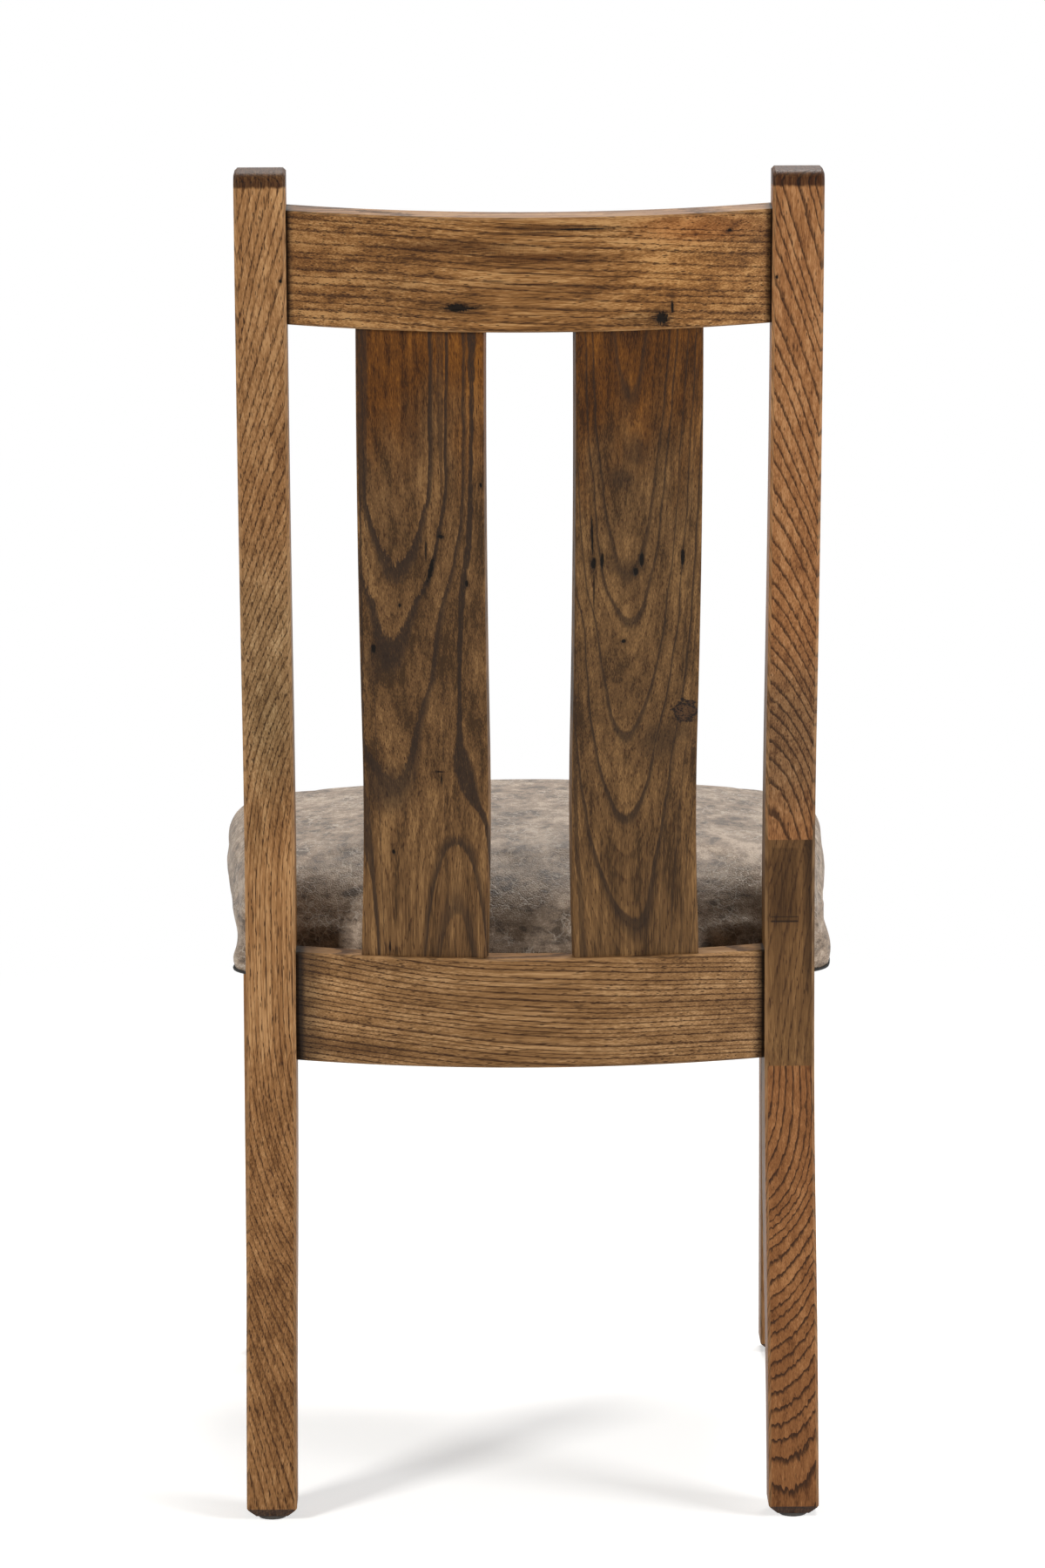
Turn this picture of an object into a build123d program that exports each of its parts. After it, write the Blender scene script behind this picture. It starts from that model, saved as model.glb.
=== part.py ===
from build123d import *
import os
from math import asin, atan, cos, degrees, radians, sin, sqrt, tan

# Side chair in reclaimed hardwood: bowed back with two slats, upholstered seat.
# Millimetres, +Z up. The sitter faces -Y, and the left side is the sitter's own, +X.
# The origin is on the floor, under the middle of the chair's bounding box.

# Frame: overall sizes
rear_width = 434.0
front_width = 469.0
frame_depth = 436.0
post_height = 1023.5
back_plane_y = 163.1

# Rear posts: section, straight stretches at the seat, bends above and below them
post_width = 38.0
post_depth = 50.0
post_top_depth = 33.0
post_foot_depth = 36.0
rear_straight_low = 385.0
rear_straight_high = 458.0
front_straight_low = 326.0
front_straight_high = 430.0
top_rake = 96.5
top_lean = 5.0
rear_lumbar_rise = 140.0
front_lumbar_rise = 190.0
foot_rake = 77.0
foot_lean = 6.0
rear_knee_drop = 160.0
front_knee_drop = 150.0
glue_line_depth = 2.6
post_ease = 2.2
post_top_round = 9.0
foot_chamfer = 7.0

# Front legs
leg_width = 38.0
leg_ease = 2.2

# Bowed back rails
rail_bow = 33.0
back_rail_thickness = 26.0
back_rail_inset = 5.5
back_rail_ease = 1.6
crest_height = 85.5
crest_drop = 71.0
lower_rail_height = 84.0
lower_rail_top = 423.5
tenon_length = 25.0
tenon_thickness = 12.0
tenon_shoulder = 10.0

# Back slats
slat_width = 96.0
slat_thickness = 13.0
slat_spacing = 160.0
slat_ease = 1.2
slat_tenon_length = 14.0
slat_tenon_thickness = 9.0
slat_tenon_shoulder = 8.0

# Seat rails, dowels and corner blocks
seat_rail_top = 392.0
seat_rail_height = 58.0
seat_rail_thickness = 22.0
seat_rail_setback = 6.0
seat_rail_ease = 1.6
dowel_diameter = 9.5
dowel_in_rail = 24.0
dowel_in_post = 17.0
dowel_in_leg = 13.0
dowel_spacing = 28.0
block_leg = 56.0
block_height = 38.0
block_screw_length = 28.0
block_screw_seat = 12.0
block_screw_diameter = 4.0
block_screw_reach = 31.0
seat_screw_length = 48.0
seat_screw_diameter = 4.5
seat_screw_reach = 12.0
screw_head_diameter = 8.6
screw_head_height = 2.6

# Seat: plan, crown and layers
seat_front_overhang = 12.0
seat_rear_side_overhang = 13.5
seat_front_side_overhang = 15.0
seat_gap = 3.0
seat_corner_radius = 36.0
seat_least_radius = 6.0
seat_hollow_radius = 40.0
seat_pad_height = 110.4
seat_crown_radius = 1540.0
seat_top_round = 29.0
seat_roll_height = 16.0
seat_roll_tuck = 4.0
seat_side_taper = 3.2
cover_thickness = 1.6
cover_turn_in = 32.0
board_thickness = 12.0
board_inset = 6.0
dust_cover_thickness = 0.6
dust_cover_inset = 12.0

# Floor glides
glide_diameter = 22.0
glide_height = 3.0
glide_ease = 1.2
glide_nail_diameter = 2.4
glide_nail_length = 18.0

# Clearances and the overrun that every cut uses
joint_slack = 0.1
pocket_slack = 1.0
overrun = 2.0

# Places that follow from the sizes above
half_span = rear_width / 2 - post_width
leg_inner_x = front_width / 2 - leg_width
leg_front_y = back_plane_y - frame_depth
leg_rear_y = leg_front_y + leg_width
post_front_y = back_plane_y - post_depth
seat_front_y = leg_front_y - seat_front_overhang
seat_rear_half_width = rear_width / 2 + seat_rear_side_overhang
seat_front_half_width = front_width / 2 + seat_front_side_overhang
seat_rail_bottom = seat_rail_top - seat_rail_height
pad_bottom = seat_rail_top + dust_cover_thickness
board_bottom = pad_bottom + cover_thickness
seat_crown_height = pad_bottom + seat_pad_height
crest_middle_height = post_height - crest_drop
bow_radius = (half_span**2 + rail_bow**2) / (2 * rail_bow)
sides = {"left": 1, "right": -1}

os.makedirs("parts", exist_ok=True)


def save(part, name):
    """Labels a finished piece and writes its file."""
    part.label = name
    export_step(part, f"parts/{name}.step")
    return part


def s_bend(reach, rise, near_rise, end_lean):
    """Two tangent arcs that leave a vertical line and end at a given lean.

    The first arc takes near_rise of the rise. With u the tangent of half the lean where the
    arcs meet and v that of half the end lean, the reach is
    near_rise * u + far_rise * (u + v) / (1 - u * v), which is a quadratic in u.
    """
    far_rise = rise - near_rise
    v = tan(radians(end_lean) / 2)
    total = rise + reach * v
    free_reach = reach - far_rise * v
    u = 2 * free_reach / (total + sqrt(total**2 - 4 * near_rise * v * free_reach))
    middle_lean = 2 * atan(u)
    near_radius = near_rise / sin(middle_lean)
    far_radius = far_rise / (sin(middle_lean) - sin(radians(end_lean)))
    return near_rise, rise, near_radius, far_radius, middle_lean


def bend_place(bend, height):
    """Reach and lean of a bend at a height above its start."""
    near_rise, rise, near_radius, far_radius, middle_lean = bend
    if height <= near_rise:
        lean = asin(max(height, 0) / near_radius)
        return near_radius * (1 - cos(lean)), lean
    lean = asin(sin(middle_lean) - (height - near_rise) / far_radius)
    near_reach = near_radius * (1 - cos(middle_lean))
    return near_reach + far_radius * (cos(lean) - cos(middle_lean)), lean


def bend_points(bend, start, direction):
    """The five points that the two arcs of a bend pass through, going up or down."""
    near_rise, rise = bend[:2]
    heights = (0, near_rise / 2, near_rise, (near_rise + rise) / 2, rise)
    return [(start[0] + bend_place(bend, h)[0], start[1] + direction * h) for h in heights]


def bend_arcs(points):
    """Draws the two arcs of a bend through its five points."""
    ThreePointArc(*points[:3])
    ThreePointArc(*points[2:])


# Bends of the rear posts
top_lean_rad = radians(top_lean)
rear_top_bend = s_bend(top_rake, post_height - rear_straight_high, rear_lumbar_rise, top_lean)
front_top_bend = s_bend(
    top_rake - post_top_depth * cos(top_lean_rad) + post_depth,
    post_height + post_top_depth * sin(top_lean_rad) - front_straight_high,
    front_lumbar_rise,
    top_lean,
)
rear_foot_bend = s_bend(foot_rake, rear_straight_low - glide_height, rear_knee_drop, foot_lean)
front_foot_bend = s_bend(
    foot_rake - post_foot_depth + post_depth,
    front_straight_low - glide_height,
    front_knee_drop,
    foot_lean,
)

# Planes that carry the two bowed rails: local x across, local y rearward, at the rail's foot
crest_reach, crest_lean = bend_place(rear_top_bend, crest_middle_height - rear_straight_high)
crest_plane = Plane(
    origin=(
        0,
        back_plane_y
        + crest_reach
        - back_rail_inset * cos(crest_lean)
        - crest_height / 2 * sin(crest_lean),
        crest_middle_height
        + back_rail_inset * sin(crest_lean)
        - crest_height / 2 * cos(crest_lean),
    ),
    x_dir=(1, 0, 0),
    z_dir=(0, sin(crest_lean), cos(crest_lean)),
)
lower_plane = Plane(
    origin=(0, back_plane_y - back_rail_inset, lower_rail_top - lower_rail_height),
    x_dir=(1, 0, 0),
    z_dir=(0, 0, 1),
)


def bow_y(radius, x):
    """Rearward place of an arc that shares the rails' bow centre, in a rail's own plane."""
    return rail_bow - bow_radius + sqrt(radius**2 - x**2)


def rail_tenons(plane, height, slack=0, end_slack=0):
    """The tenon on each end of a bowed rail, or with slack the mortises that take them."""
    inner = half_span - overrun
    outer = half_span + tenon_length + end_slack
    with BuildPart() as tenons:
        with BuildSketch(plane.offset(tenon_shoulder - slack)):
            for side in (1, -1):
                with Locations((side * (inner + outer) / 2, -back_rail_thickness / 2)):
                    Rectangle(outer - inner, tenon_thickness + 2 * slack)
        extrude(amount=height - 2 * tenon_shoulder + 2 * slack)
    return tenons.part


# Slats: each stands square to the bow and tilts a little in its own plane, so that its
# ends come under one another although the back leans.
slat_arc_radius = bow_radius - back_rail_thickness / 2
slat_turn = asin(slat_spacing / 2 / slat_arc_radius)
slat_bottom = lower_rail_top
crest_bottom_reach, crest_bottom_lean = bend_place(
    rear_top_bend, crest_plane.origin.Z - rear_straight_high
)
slat_length = crest_plane.origin.Z - slat_bottom
slat_tilt = asin(crest_bottom_reach * sin(slat_turn) / slat_length)


def slat_plane(side):
    """Plane of a slat's side profile: local x rearward, local y up the slat."""
    foot_y = back_plane_y - back_rail_inset + bow_y(slat_arc_radius, slat_spacing / 2)
    rearward = (side * sin(slat_turn), cos(slat_turn), 0)
    across = (
        cos(slat_turn) * cos(slat_tilt),
        -side * sin(slat_turn) * cos(slat_tilt),
        side * sin(slat_tilt),
    )
    return Plane(origin=(side * slat_spacing / 2, foot_y, slat_bottom), x_dir=rearward, z_dir=across)


def slat_point(height, offset):
    """A point of the slat's profile, offset forward from its middle surface."""
    reach, lean = bend_place(rear_top_bend, height + slat_bottom - rear_straight_high)
    return (
        reach * cos(slat_turn) - offset * cos(lean),
        height + offset * sin(lean),
    )


def slat_curve(offset, bottom, top):
    """One face of the slat as a straight foot and two arcs."""
    straight = rear_straight_high - slat_bottom
    near = straight + rear_lumbar_rise
    Line(slat_point(bottom, offset), slat_point(straight, offset))
    first = [slat_point(h, offset) for h in (straight, (straight + near) / 2, near)]
    second = [slat_point(h, offset) for h in (near, (near + top) / 2, top)]
    ThreePointArc(*first)
    ThreePointArc(*second)


def slat_tenon(side, at_top, slack=0, end_slack=0):
    """The tenon at one end of a slat, or with slack the mortise that takes it."""
    height = slat_length if at_top else 0
    lean = crest_bottom_lean if at_top else 0
    way = 1 if at_top else -1
    middle = Vector(*slat_point(height, 0))
    along = Vector(sin(lean), cos(lean)) * way
    across = Vector(cos(lean), -sin(lean)) * (slat_tenon_thickness / 2 + slack)
    start = middle - along * slat_tenon_thickness
    end = middle + along * (slat_tenon_length + end_slack)
    with BuildPart() as tenon:
        with BuildSketch(slat_plane(side)):
            with BuildLine():
                Polyline(start - across, end - across, end + across, start + across, close=True)
            make_face()
        extrude(amount=slat_width / 2 - slat_tenon_shoulder + slack, both=True)
    return tenon.part


def build_bowed_rail(name, plane, height, cuts):
    """A back rail sawn to a bow, with a tenon on each end and cuts for what joins it."""
    tenons = rail_tenons(plane, height)
    with BuildPart() as rail:
        with BuildSketch(plane):
            with BuildLine():
                ends = [(side * half_span, 0) for side in (1, -1)]
                rear = ThreePointArc(ends[0], (0, rail_bow), ends[1])
                front_radius = bow_radius - back_rail_thickness
                front_end_y = bow_y(front_radius, half_span)
                front = ThreePointArc(
                    (half_span, front_end_y),
                    (0, rail_bow - back_rail_thickness),
                    (-half_span, front_end_y),
                )
                Line(rear @ 0, front @ 0)
                Line(rear @ 1, front @ 1)
            make_face()
        extrude(amount=height)
        chamfer(rail.edges().filter_by(GeomType.CIRCLE), length=back_rail_ease)
        add(tenons)
        add(cuts, mode=Mode.SUBTRACT)
    return save(rail.part, name)


def build_slat(name, side):
    """A curved slat: side profile sawn out, ends cut to the rails, tenons left standing."""
    tenons = [slat_tenon(side, at_top) for at_top in (True, False)]
    with BuildPart() as slat:
        with BuildSketch(slat_plane(side)):
            with BuildLine():
                top = slat_length + slat_thickness
                slat_curve(-slat_thickness / 2, -slat_thickness, top)
                slat_curve(slat_thickness / 2, -slat_thickness, top)
                Line(slat_point(top, -slat_thickness / 2), slat_point(top, slat_thickness / 2))
                Line(
                    slat_point(-slat_thickness, -slat_thickness / 2),
                    slat_point(-slat_thickness, slat_thickness / 2),
                )
            make_face()
        extrude(amount=slat_width / 2, both=True)
        across = slat_plane(side).z_dir
        side_faces = slat.faces().filter_by(lambda f: abs(f.normal_at().dot(across)) > cos(slat_tilt))
        long_edges = [e for e in side_faces.edges() if e.length > 2 * slat_thickness]
        fillet(long_edges, radius=slat_ease)
        split(bisect_by=crest_plane, keep=Keep.BOTTOM)
        split(bisect_by=Plane.XY.offset(slat_bottom), keep=Keep.TOP)
        add(tenons)
    return save(slat.part, name)


# Side seat rails: they run a little outwards from the posts to the front legs
side_rear_outer_x = rear_width / 2 - seat_rail_setback
side_front_outer_x = front_width / 2 - seat_rail_setback
side_run = post_front_y - leg_rear_y
side_splay = (side_front_outer_x - side_rear_outer_x) / side_run


def side_inner_x(y):
    """Inner face of a side seat rail at a depth, on the left side."""
    return side_rear_outer_x - seat_rail_thickness + side_splay * (post_front_y - y)


dowel_heights = [
    seat_rail_bottom + seat_rail_height / 2 + way * dowel_spacing / 2 for way in (-1, 1)
]
side_dowel_rear_x = side_rear_outer_x - seat_rail_thickness / 2
side_dowel_front_x = side_front_outer_x - seat_rail_thickness / 2
front_rail_y = leg_front_y + seat_rail_setback + seat_rail_thickness / 2


def dowel_rods(plane, places, start, end, slack):
    """Dowels along a plane's normal from start to end, or with slack the holes for them."""
    with BuildPart() as rods:
        with BuildSketch(plane.offset(start - slack)):
            with Locations(*places):
                Circle(dowel_diameter / 2 + slack)
        extrude(amount=end - start + 2 * slack)
    return rods.part


def side_rail_dowels(side, slack=0):
    """The dowels at both ends of one side seat rail, or with slack their holes."""
    rear_places = [(side * side_dowel_rear_x, height) for height in dowel_heights]
    front_places = [(side * side_dowel_front_x, height) for height in dowel_heights]
    at_post = Plane(origin=(0, post_front_y, 0), x_dir=(1, 0, 0), z_dir=(0, -1, 0))
    at_leg = Plane(origin=(0, leg_rear_y, 0), x_dir=(1, 0, 0), z_dir=(0, -1, 0))
    return [
        dowel_rods(at_post, rear_places, -dowel_in_post, dowel_in_rail, slack),
        dowel_rods(at_leg, front_places, -dowel_in_rail, dowel_in_leg, slack),
    ]


def front_rail_dowels(side, slack=0):
    """The dowels at one end of the front seat rail, or with slack their holes."""
    places = [(front_rail_y, height) for height in dowel_heights]
    rail_end = Plane(origin=(side * leg_inner_x, 0, 0), x_dir=(0, side, 0), z_dir=(side, 0, 0))
    mirrored = [(side * y, height) for y, height in places]
    return dowel_rods(rail_end, mirrored, -dowel_in_rail, dowel_in_post, slack)


def glide_nail(x, y, slack=0):
    """The nail of a floor glide, or with slack its hole in the foot."""
    with BuildPart() as nail:
        with BuildSketch(Plane.XY.offset(glide_height - glide_ease)):
            with Locations((x, y)):
                Circle(glide_nail_diameter / 2 + slack)
        extrude(amount=glide_nail_length + slack)
    return nail.part


rear_foot_y = back_plane_y + foot_rake - post_foot_depth / 2
front_foot_y = leg_front_y + leg_width / 2
rear_foot_x = rear_width / 2 - post_width / 2
front_foot_x = front_width / 2 - leg_width / 2


def build_rear_post(side):
    """A rear post: bent in side view, thicker at the seat, mortised for both back rails."""
    inner_plane = Plane.YZ.offset(side * half_span)
    rear_foot = bend_points(rear_foot_bend, (back_plane_y, rear_straight_low), -1)
    rear_top = bend_points(rear_top_bend, (back_plane_y, rear_straight_high), 1)
    front_foot = bend_points(front_foot_bend, (post_front_y, front_straight_low), -1)
    front_top = bend_points(front_top_bend, (post_front_y, front_straight_high), 1)
    cuts = [
        rail_tenons(crest_plane, crest_height, joint_slack, pocket_slack),
        rail_tenons(lower_plane, lower_rail_height, joint_slack, pocket_slack),
        *side_rail_dowels(side, joint_slack),
        glide_nail(side * rear_foot_x, rear_foot_y, joint_slack),
    ]
    with BuildPart() as post:
        with BuildSketch(inner_plane) as profile:
            with BuildLine():
                bend_arcs(rear_foot)
                Line(rear_foot[0], rear_top[0])
                bend_arcs(rear_top)
                Line(rear_top[-1], front_top[-1])
                bend_arcs(front_top)
                Line(front_top[0], front_foot[0])
                bend_arcs(front_foot)
                Line(front_foot[-1], rear_foot[-1])
            make_face()
            rear_top_corner = profile.vertices().sort_by(Axis.Y)[-2]
            fillet(rear_top_corner, radius=post_top_round)
        extrude(amount=side * post_width)
        chamfer(post.faces().sort_by(Axis.Z)[0].edges(), length=foot_chamfer)
        side_edges = post.faces().filter_by(Axis.X).edges()
        top_edges = post.faces().sort_by(Axis.Z)[-1].edges().filter_by(Axis.X)
        eased = side_edges.filter_by(lambda e: e.center().Z > glide_height + 2 * foot_chamfer)
        front_top_edge = top_edges.sort_by(Axis.Y)[:1]
        chamfer(list(set(eased) | set(front_top_edge)), length=post_ease)
        add(cuts, mode=Mode.SUBTRACT)
    return post.part


def build_front_leg(name, side):
    """A square front leg with eased arrises, a chamfered foot and dowel holes."""
    cuts = [
        *side_rail_dowels(side, joint_slack),
        front_rail_dowels(side, joint_slack),
        glide_nail(side * front_foot_x, front_foot_y, joint_slack),
    ]
    with BuildPart() as leg:
        with BuildSketch(Plane.XY.offset(glide_height)):
            with Locations((side * front_foot_x, front_foot_y)):
                Rectangle(leg_width, leg_width)
        extrude(amount=seat_rail_top - glide_height)
        chamfer(leg.faces().sort_by(Axis.Z)[0].edges(), length=foot_chamfer)
        upright = leg.edges().filter_by(Axis.Z)
        fillet(upright, radius=leg_ease)
        add(cuts, mode=Mode.SUBTRACT)
    return save(leg.part, name)


# Corner blocks sit in the four corners under the seat, against rails, posts and legs
front_block_y = leg_front_y + seat_rail_setback + seat_rail_thickness
rail_face_radius = bow_radius - back_rail_thickness
rail_bow_centre_y = back_plane_y - back_rail_inset + rail_bow - bow_radius
block_screw_height = seat_rail_top - block_height / 2


def back_rail_front_y(x):
    """Front face of the lower back rail at a place across the chair."""
    return rail_bow_centre_y + sqrt(rail_face_radius**2 - x**2)


def block_screw_places(side, front):
    """Planes where a corner block's two rail screws start, each facing its rail."""
    if front:
        rail_x = leg_inner_x - block_screw_reach
        rail_y = front_block_y + block_screw_seat
        side_y = leg_rear_y + block_screw_reach
    else:
        rail_x = half_span - block_screw_reach
        rail_y = back_rail_front_y(rail_x) - block_screw_seat
        side_y = post_front_y - block_screw_reach
    side_x = side_inner_x(side_y) - block_screw_seat
    to_rail = (0, -1, 0) if front else (0, 1, 0)
    return [
        Plane(origin=(side * rail_x, rail_y, block_screw_height), x_dir=(1, 0, 0), z_dir=to_rail),
        Plane(origin=(side * side_x, side_y, block_screw_height), x_dir=(0, 1, 0), z_dir=(side, 0, 0)),
    ]


def screw(plane, diameter, length, slack=0, head_room=0):
    """A screw along a plane's normal, its head behind the plane, or with slack its hole."""
    with BuildPart() as fastener:
        with BuildSketch(plane):
            Circle(diameter / 2 + slack)
        extrude(amount=length + slack)
        with BuildSketch(plane):
            Circle(screw_head_diameter / 2 + slack)
        extrude(amount=-(screw_head_height + head_room))
    return fastener.part


def block_screws(side, front, slack=0, head_room=0):
    """The two rail screws of a corner block, or with slack their holes."""
    return [
        screw(place, block_screw_diameter, block_screw_length, slack, head_room)
        for place in block_screw_places(side, front)
    ]


def seat_screws(slack=0):
    """The four screws that run up through the corner blocks, or with slack their holes."""
    screws = []
    for side in (1, -1):
        for x, y in (
            (leg_inner_x - seat_screw_reach, leg_rear_y + seat_screw_reach),
            (half_span - seat_screw_reach, post_front_y - seat_screw_reach),
        ):
            start = Plane(origin=(side * x, y, seat_rail_top - block_height))
            screws.append(screw(start, seat_screw_diameter, seat_screw_length, slack))
    return screws


def build_corner_block(name, side, front):
    """A corner block: one leg along each rail, notched round the post or the front leg."""
    if front:
        base_y = front_block_y
        tip_x = leg_inner_x - block_leg
        tip_y = leg_rear_y + block_leg
        nose_y = front_block_y + block_screw_seat
        upright = (leg_inner_x + leg_width / 2, leg_front_y + leg_width / 2, leg_width, leg_width)
    else:
        base_y = back_plane_y
        tip_x = half_span - block_leg
        tip_y = post_front_y - block_leg
        nose_y = back_rail_front_y(tip_x) - block_screw_seat
        upright = (half_span + post_width / 2, back_plane_y - post_depth / 2, post_width, post_depth)
    outline = [
        (side * side_inner_x(base_y), base_y),
        (side * tip_x, base_y),
        (side * tip_x, nose_y),
        (side * (side_inner_x(tip_y) - block_screw_seat), tip_y),
        (side * side_inner_x(tip_y), tip_y),
    ]
    cuts = [*block_screws(side, front, joint_slack, block_leg), *seat_screws(joint_slack)]
    with BuildPart() as block:
        with BuildSketch(Plane.XY.offset(seat_rail_top - block_height)):
            with BuildLine():
                Polyline(*outline, close=True)
            make_face()
            with Locations((side * upright[0], upright[1])):
                Rectangle(*upright[2:], mode=Mode.SUBTRACT)
            if not front:
                with Locations((0, rail_bow_centre_y)):
                    Circle(rail_face_radius, mode=Mode.INTERSECT)
        extrude(amount=block_height)
        add(cuts, mode=Mode.SUBTRACT)
    return save(block.part, name)


def build_front_rail():
    """The front seat rail, doweled between the legs."""
    cuts = [front_rail_dowels(side, joint_slack) for side in (1, -1)]
    for side in (1, -1):
        cuts += block_screws(side, True, joint_slack)
    with BuildPart() as rail:
        with BuildSketch(Plane.XY.offset(seat_rail_bottom)):
            with Locations((0, front_rail_y)):
                Rectangle(2 * leg_inner_x, seat_rail_thickness)
        extrude(amount=seat_rail_height)
        fillet(rail.edges().filter_by(Axis.X), radius=seat_rail_ease)
        add(cuts, mode=Mode.SUBTRACT)
    return save(rail.part, "front_seat_rail")


def build_side_rail(name, side):
    """A side seat rail: its ends are cut square to the chair, not to itself."""
    plan = [
        (side * side_rear_outer_x, post_front_y),
        (side * side_front_outer_x, leg_rear_y),
        (side * (side_front_outer_x - seat_rail_thickness), leg_rear_y),
        (side * (side_rear_outer_x - seat_rail_thickness), post_front_y),
    ]
    cuts = side_rail_dowels(side, joint_slack)
    for front in (True, False):
        cuts += block_screws(side, front, joint_slack)
    with BuildPart() as rail:
        with BuildSketch(Plane.XY.offset(seat_rail_bottom)):
            with BuildLine():
                Polyline(*plan, close=True)
            make_face()
        extrude(amount=seat_rail_height)
        long_edges = rail.edges().filter_by(lambda e: e.length > side_run / 2)
        fillet(long_edges, radius=seat_rail_ease)
        add(cuts, mode=Mode.SUBTRACT)
    return save(rail.part, name)


def pad_outline(inset, height):
    """Plan of the seat pad: straight sides, round corners and a rear edge bowed like the rail."""
    front_y = seat_front_y + inset
    corner_y = post_front_y - seat_gap - inset
    front_x = seat_front_half_width - inset
    rear_x = seat_rear_half_width - inset
    hollow_x = half_span - seat_gap
    middle_y = back_rail_front_y(0) - seat_gap - inset
    with BuildSketch(Plane.XY.offset(height)) as plan:
        with BuildLine() as outline:
            Line((front_x, front_y), (rear_x, corner_y))
            Line((rear_x, corner_y), (hollow_x, corner_y))
            ThreePointArc((hollow_x, corner_y), (0, middle_y), (-hollow_x, corner_y))
            Line((-hollow_x, corner_y), (-rear_x, corner_y))
            Line((-rear_x, corner_y), (-front_x, front_y))
            Line((-front_x, front_y), (front_x, front_y))
        make_face()
        corners = plan.vertices().filter_by(lambda v: abs(v.X) > hollow_x + overrun)
        fillet(corners, radius=max(seat_corner_radius - inset, seat_least_radius))
        hollows = plan.vertices().filter_by(lambda v: abs(abs(v.X) - hollow_x) < joint_slack)
        fillet(hollows, radius=seat_hollow_radius)
    return plan.sketch


def pad_body(inset, bottom):
    """The pad's solid: a tucked lower roll, drawn-in sides and a crowned, rounded top."""
    roll_height = pad_bottom + seat_roll_height
    plan = pad_outline(inset, roll_height)
    crown_middle = (0, (seat_front_y + post_front_y) / 2, seat_crown_height - seat_crown_radius)
    tuck = degrees(atan(seat_roll_tuck / seat_roll_height))
    with BuildPart() as body:
        extrude(plan, amount=seat_crown_height - roll_height, taper=seat_side_taper)
        with Locations(crown_middle):
            Sphere(seat_crown_radius - inset, mode=Mode.INTERSECT)
        top_face = body.faces().filter_by(GeomType.SPHERE)
        fillet(top_face.edges(), radius=seat_top_round - inset)
        extrude(plan, amount=bottom - roll_height, taper=tuck)
    return body.part


def build_seat():
    """The seat's layers: cover, foam, board and dust cover, each a solid of its own."""
    holes = seat_screws(joint_slack)
    filling = pad_body(cover_thickness, board_bottom)
    skin = pad_body(0, pad_bottom)
    with BuildPart() as blank:
        extrude(pad_outline(cover_thickness + board_inset, board_bottom), amount=board_thickness)
    with BuildPart() as board:
        add(blank.part)
        add(holes, mode=Mode.SUBTRACT)
    with BuildPart() as foam:
        add(filling)
        add(blank.part, mode=Mode.SUBTRACT)
    opening = pad_outline(cover_turn_in, pad_bottom - overrun)
    with BuildPart() as cover:
        add(skin)
        add(filling, mode=Mode.SUBTRACT)
        extrude(opening, amount=overrun + cover_thickness, mode=Mode.SUBTRACT)
        add(holes, mode=Mode.SUBTRACT)
    with BuildPart() as dust_cover:
        extrude(pad_outline(dust_cover_inset, seat_rail_top), amount=dust_cover_thickness)
        add(holes, mode=Mode.SUBTRACT)
    save(cover.part, "seat_cover")
    save(foam.part, "seat_foam")
    save(board.part, "seat_board")
    save(dust_cover.part, "dust_cover")


def build_glide(name, x, y):
    """A round floor glide with a softened lower rim and a nail hole."""
    hole = glide_nail(x, y, joint_slack)
    with BuildPart() as glide:
        with BuildSketch():
            with Locations((x, y)):
                Circle(glide_diameter / 2)
        extrude(amount=glide_height)
        fillet(glide.edges().sort_by(Axis.Z)[0], radius=glide_ease)
        add(hole, mode=Mode.SUBTRACT)
    return save(glide.part, name)


def save_group(pieces, name):
    """Writes like pieces that don't touch as one group of solids."""
    with BuildPart() as group:
        add(pieces)
    return save(group.part, name)


# Rear posts: the left one is a single board, the right one is glued up from three pieces
save(build_rear_post(1), "rear_post_left")
right_post = build_rear_post(-1)
glue_plane = Plane(origin=(0, back_plane_y + glue_line_depth, 0), x_dir=(1, 0, 0), z_dir=(0, 1, 0))
with BuildPart() as front_layer:
    add(right_post)
    split(bisect_by=glue_plane, keep=Keep.BOTTOM)
save(front_layer.part, "rear_post_right_front_layer")
with BuildPart() as back_layers:
    add(right_post)
    split(bisect_by=glue_plane, keep=Keep.TOP)
for layer_name, index in (("lower", 0), ("upper", -1)):
    with BuildPart() as layer:
        add(back_layers.part.solids().sort_by(Axis.Z)[index])
    save(layer.part, f"rear_post_right_{layer_name}_layer")

# Bowed rails of the back and the front rail of the seat
crest_cuts = [slat_tenon(side, True, joint_slack, pocket_slack) for side in (1, -1)]
build_bowed_rail("crest_rail", crest_plane, crest_height, crest_cuts)
lower_cuts = [slat_tenon(side, False, joint_slack, pocket_slack) for side in (1, -1)]
for side in (1, -1):
    lower_cuts += block_screws(side, False, joint_slack)
build_bowed_rail("lower_back_rail", lower_plane, lower_rail_height, lower_cuts)
build_front_rail()

# Pieces that come as a left and a right
for side_name, side in sides.items():
    build_slat(f"back_slat_{side_name}", side)
    build_front_leg(f"front_leg_{side_name}", side)
    build_side_rail(f"side_seat_rail_{side_name}", side)
    save_group(side_rail_dowels(side), f"side_rail_dowels_{side_name}")
    build_corner_block(f"corner_block_front_{side_name}", side, True)
    build_corner_block(f"corner_block_rear_{side_name}", side, False)

# Dowels and screws that come as one group
save_group([front_rail_dowels(side) for side in (1, -1)], "front_rail_dowels")
rail_screws = []
for side in (1, -1):
    for front in (True, False):
        rail_screws += block_screws(side, front)
save_group(rail_screws, "corner_block_screws")
save_group(seat_screws(), "seat_screws")

build_seat()

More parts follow.
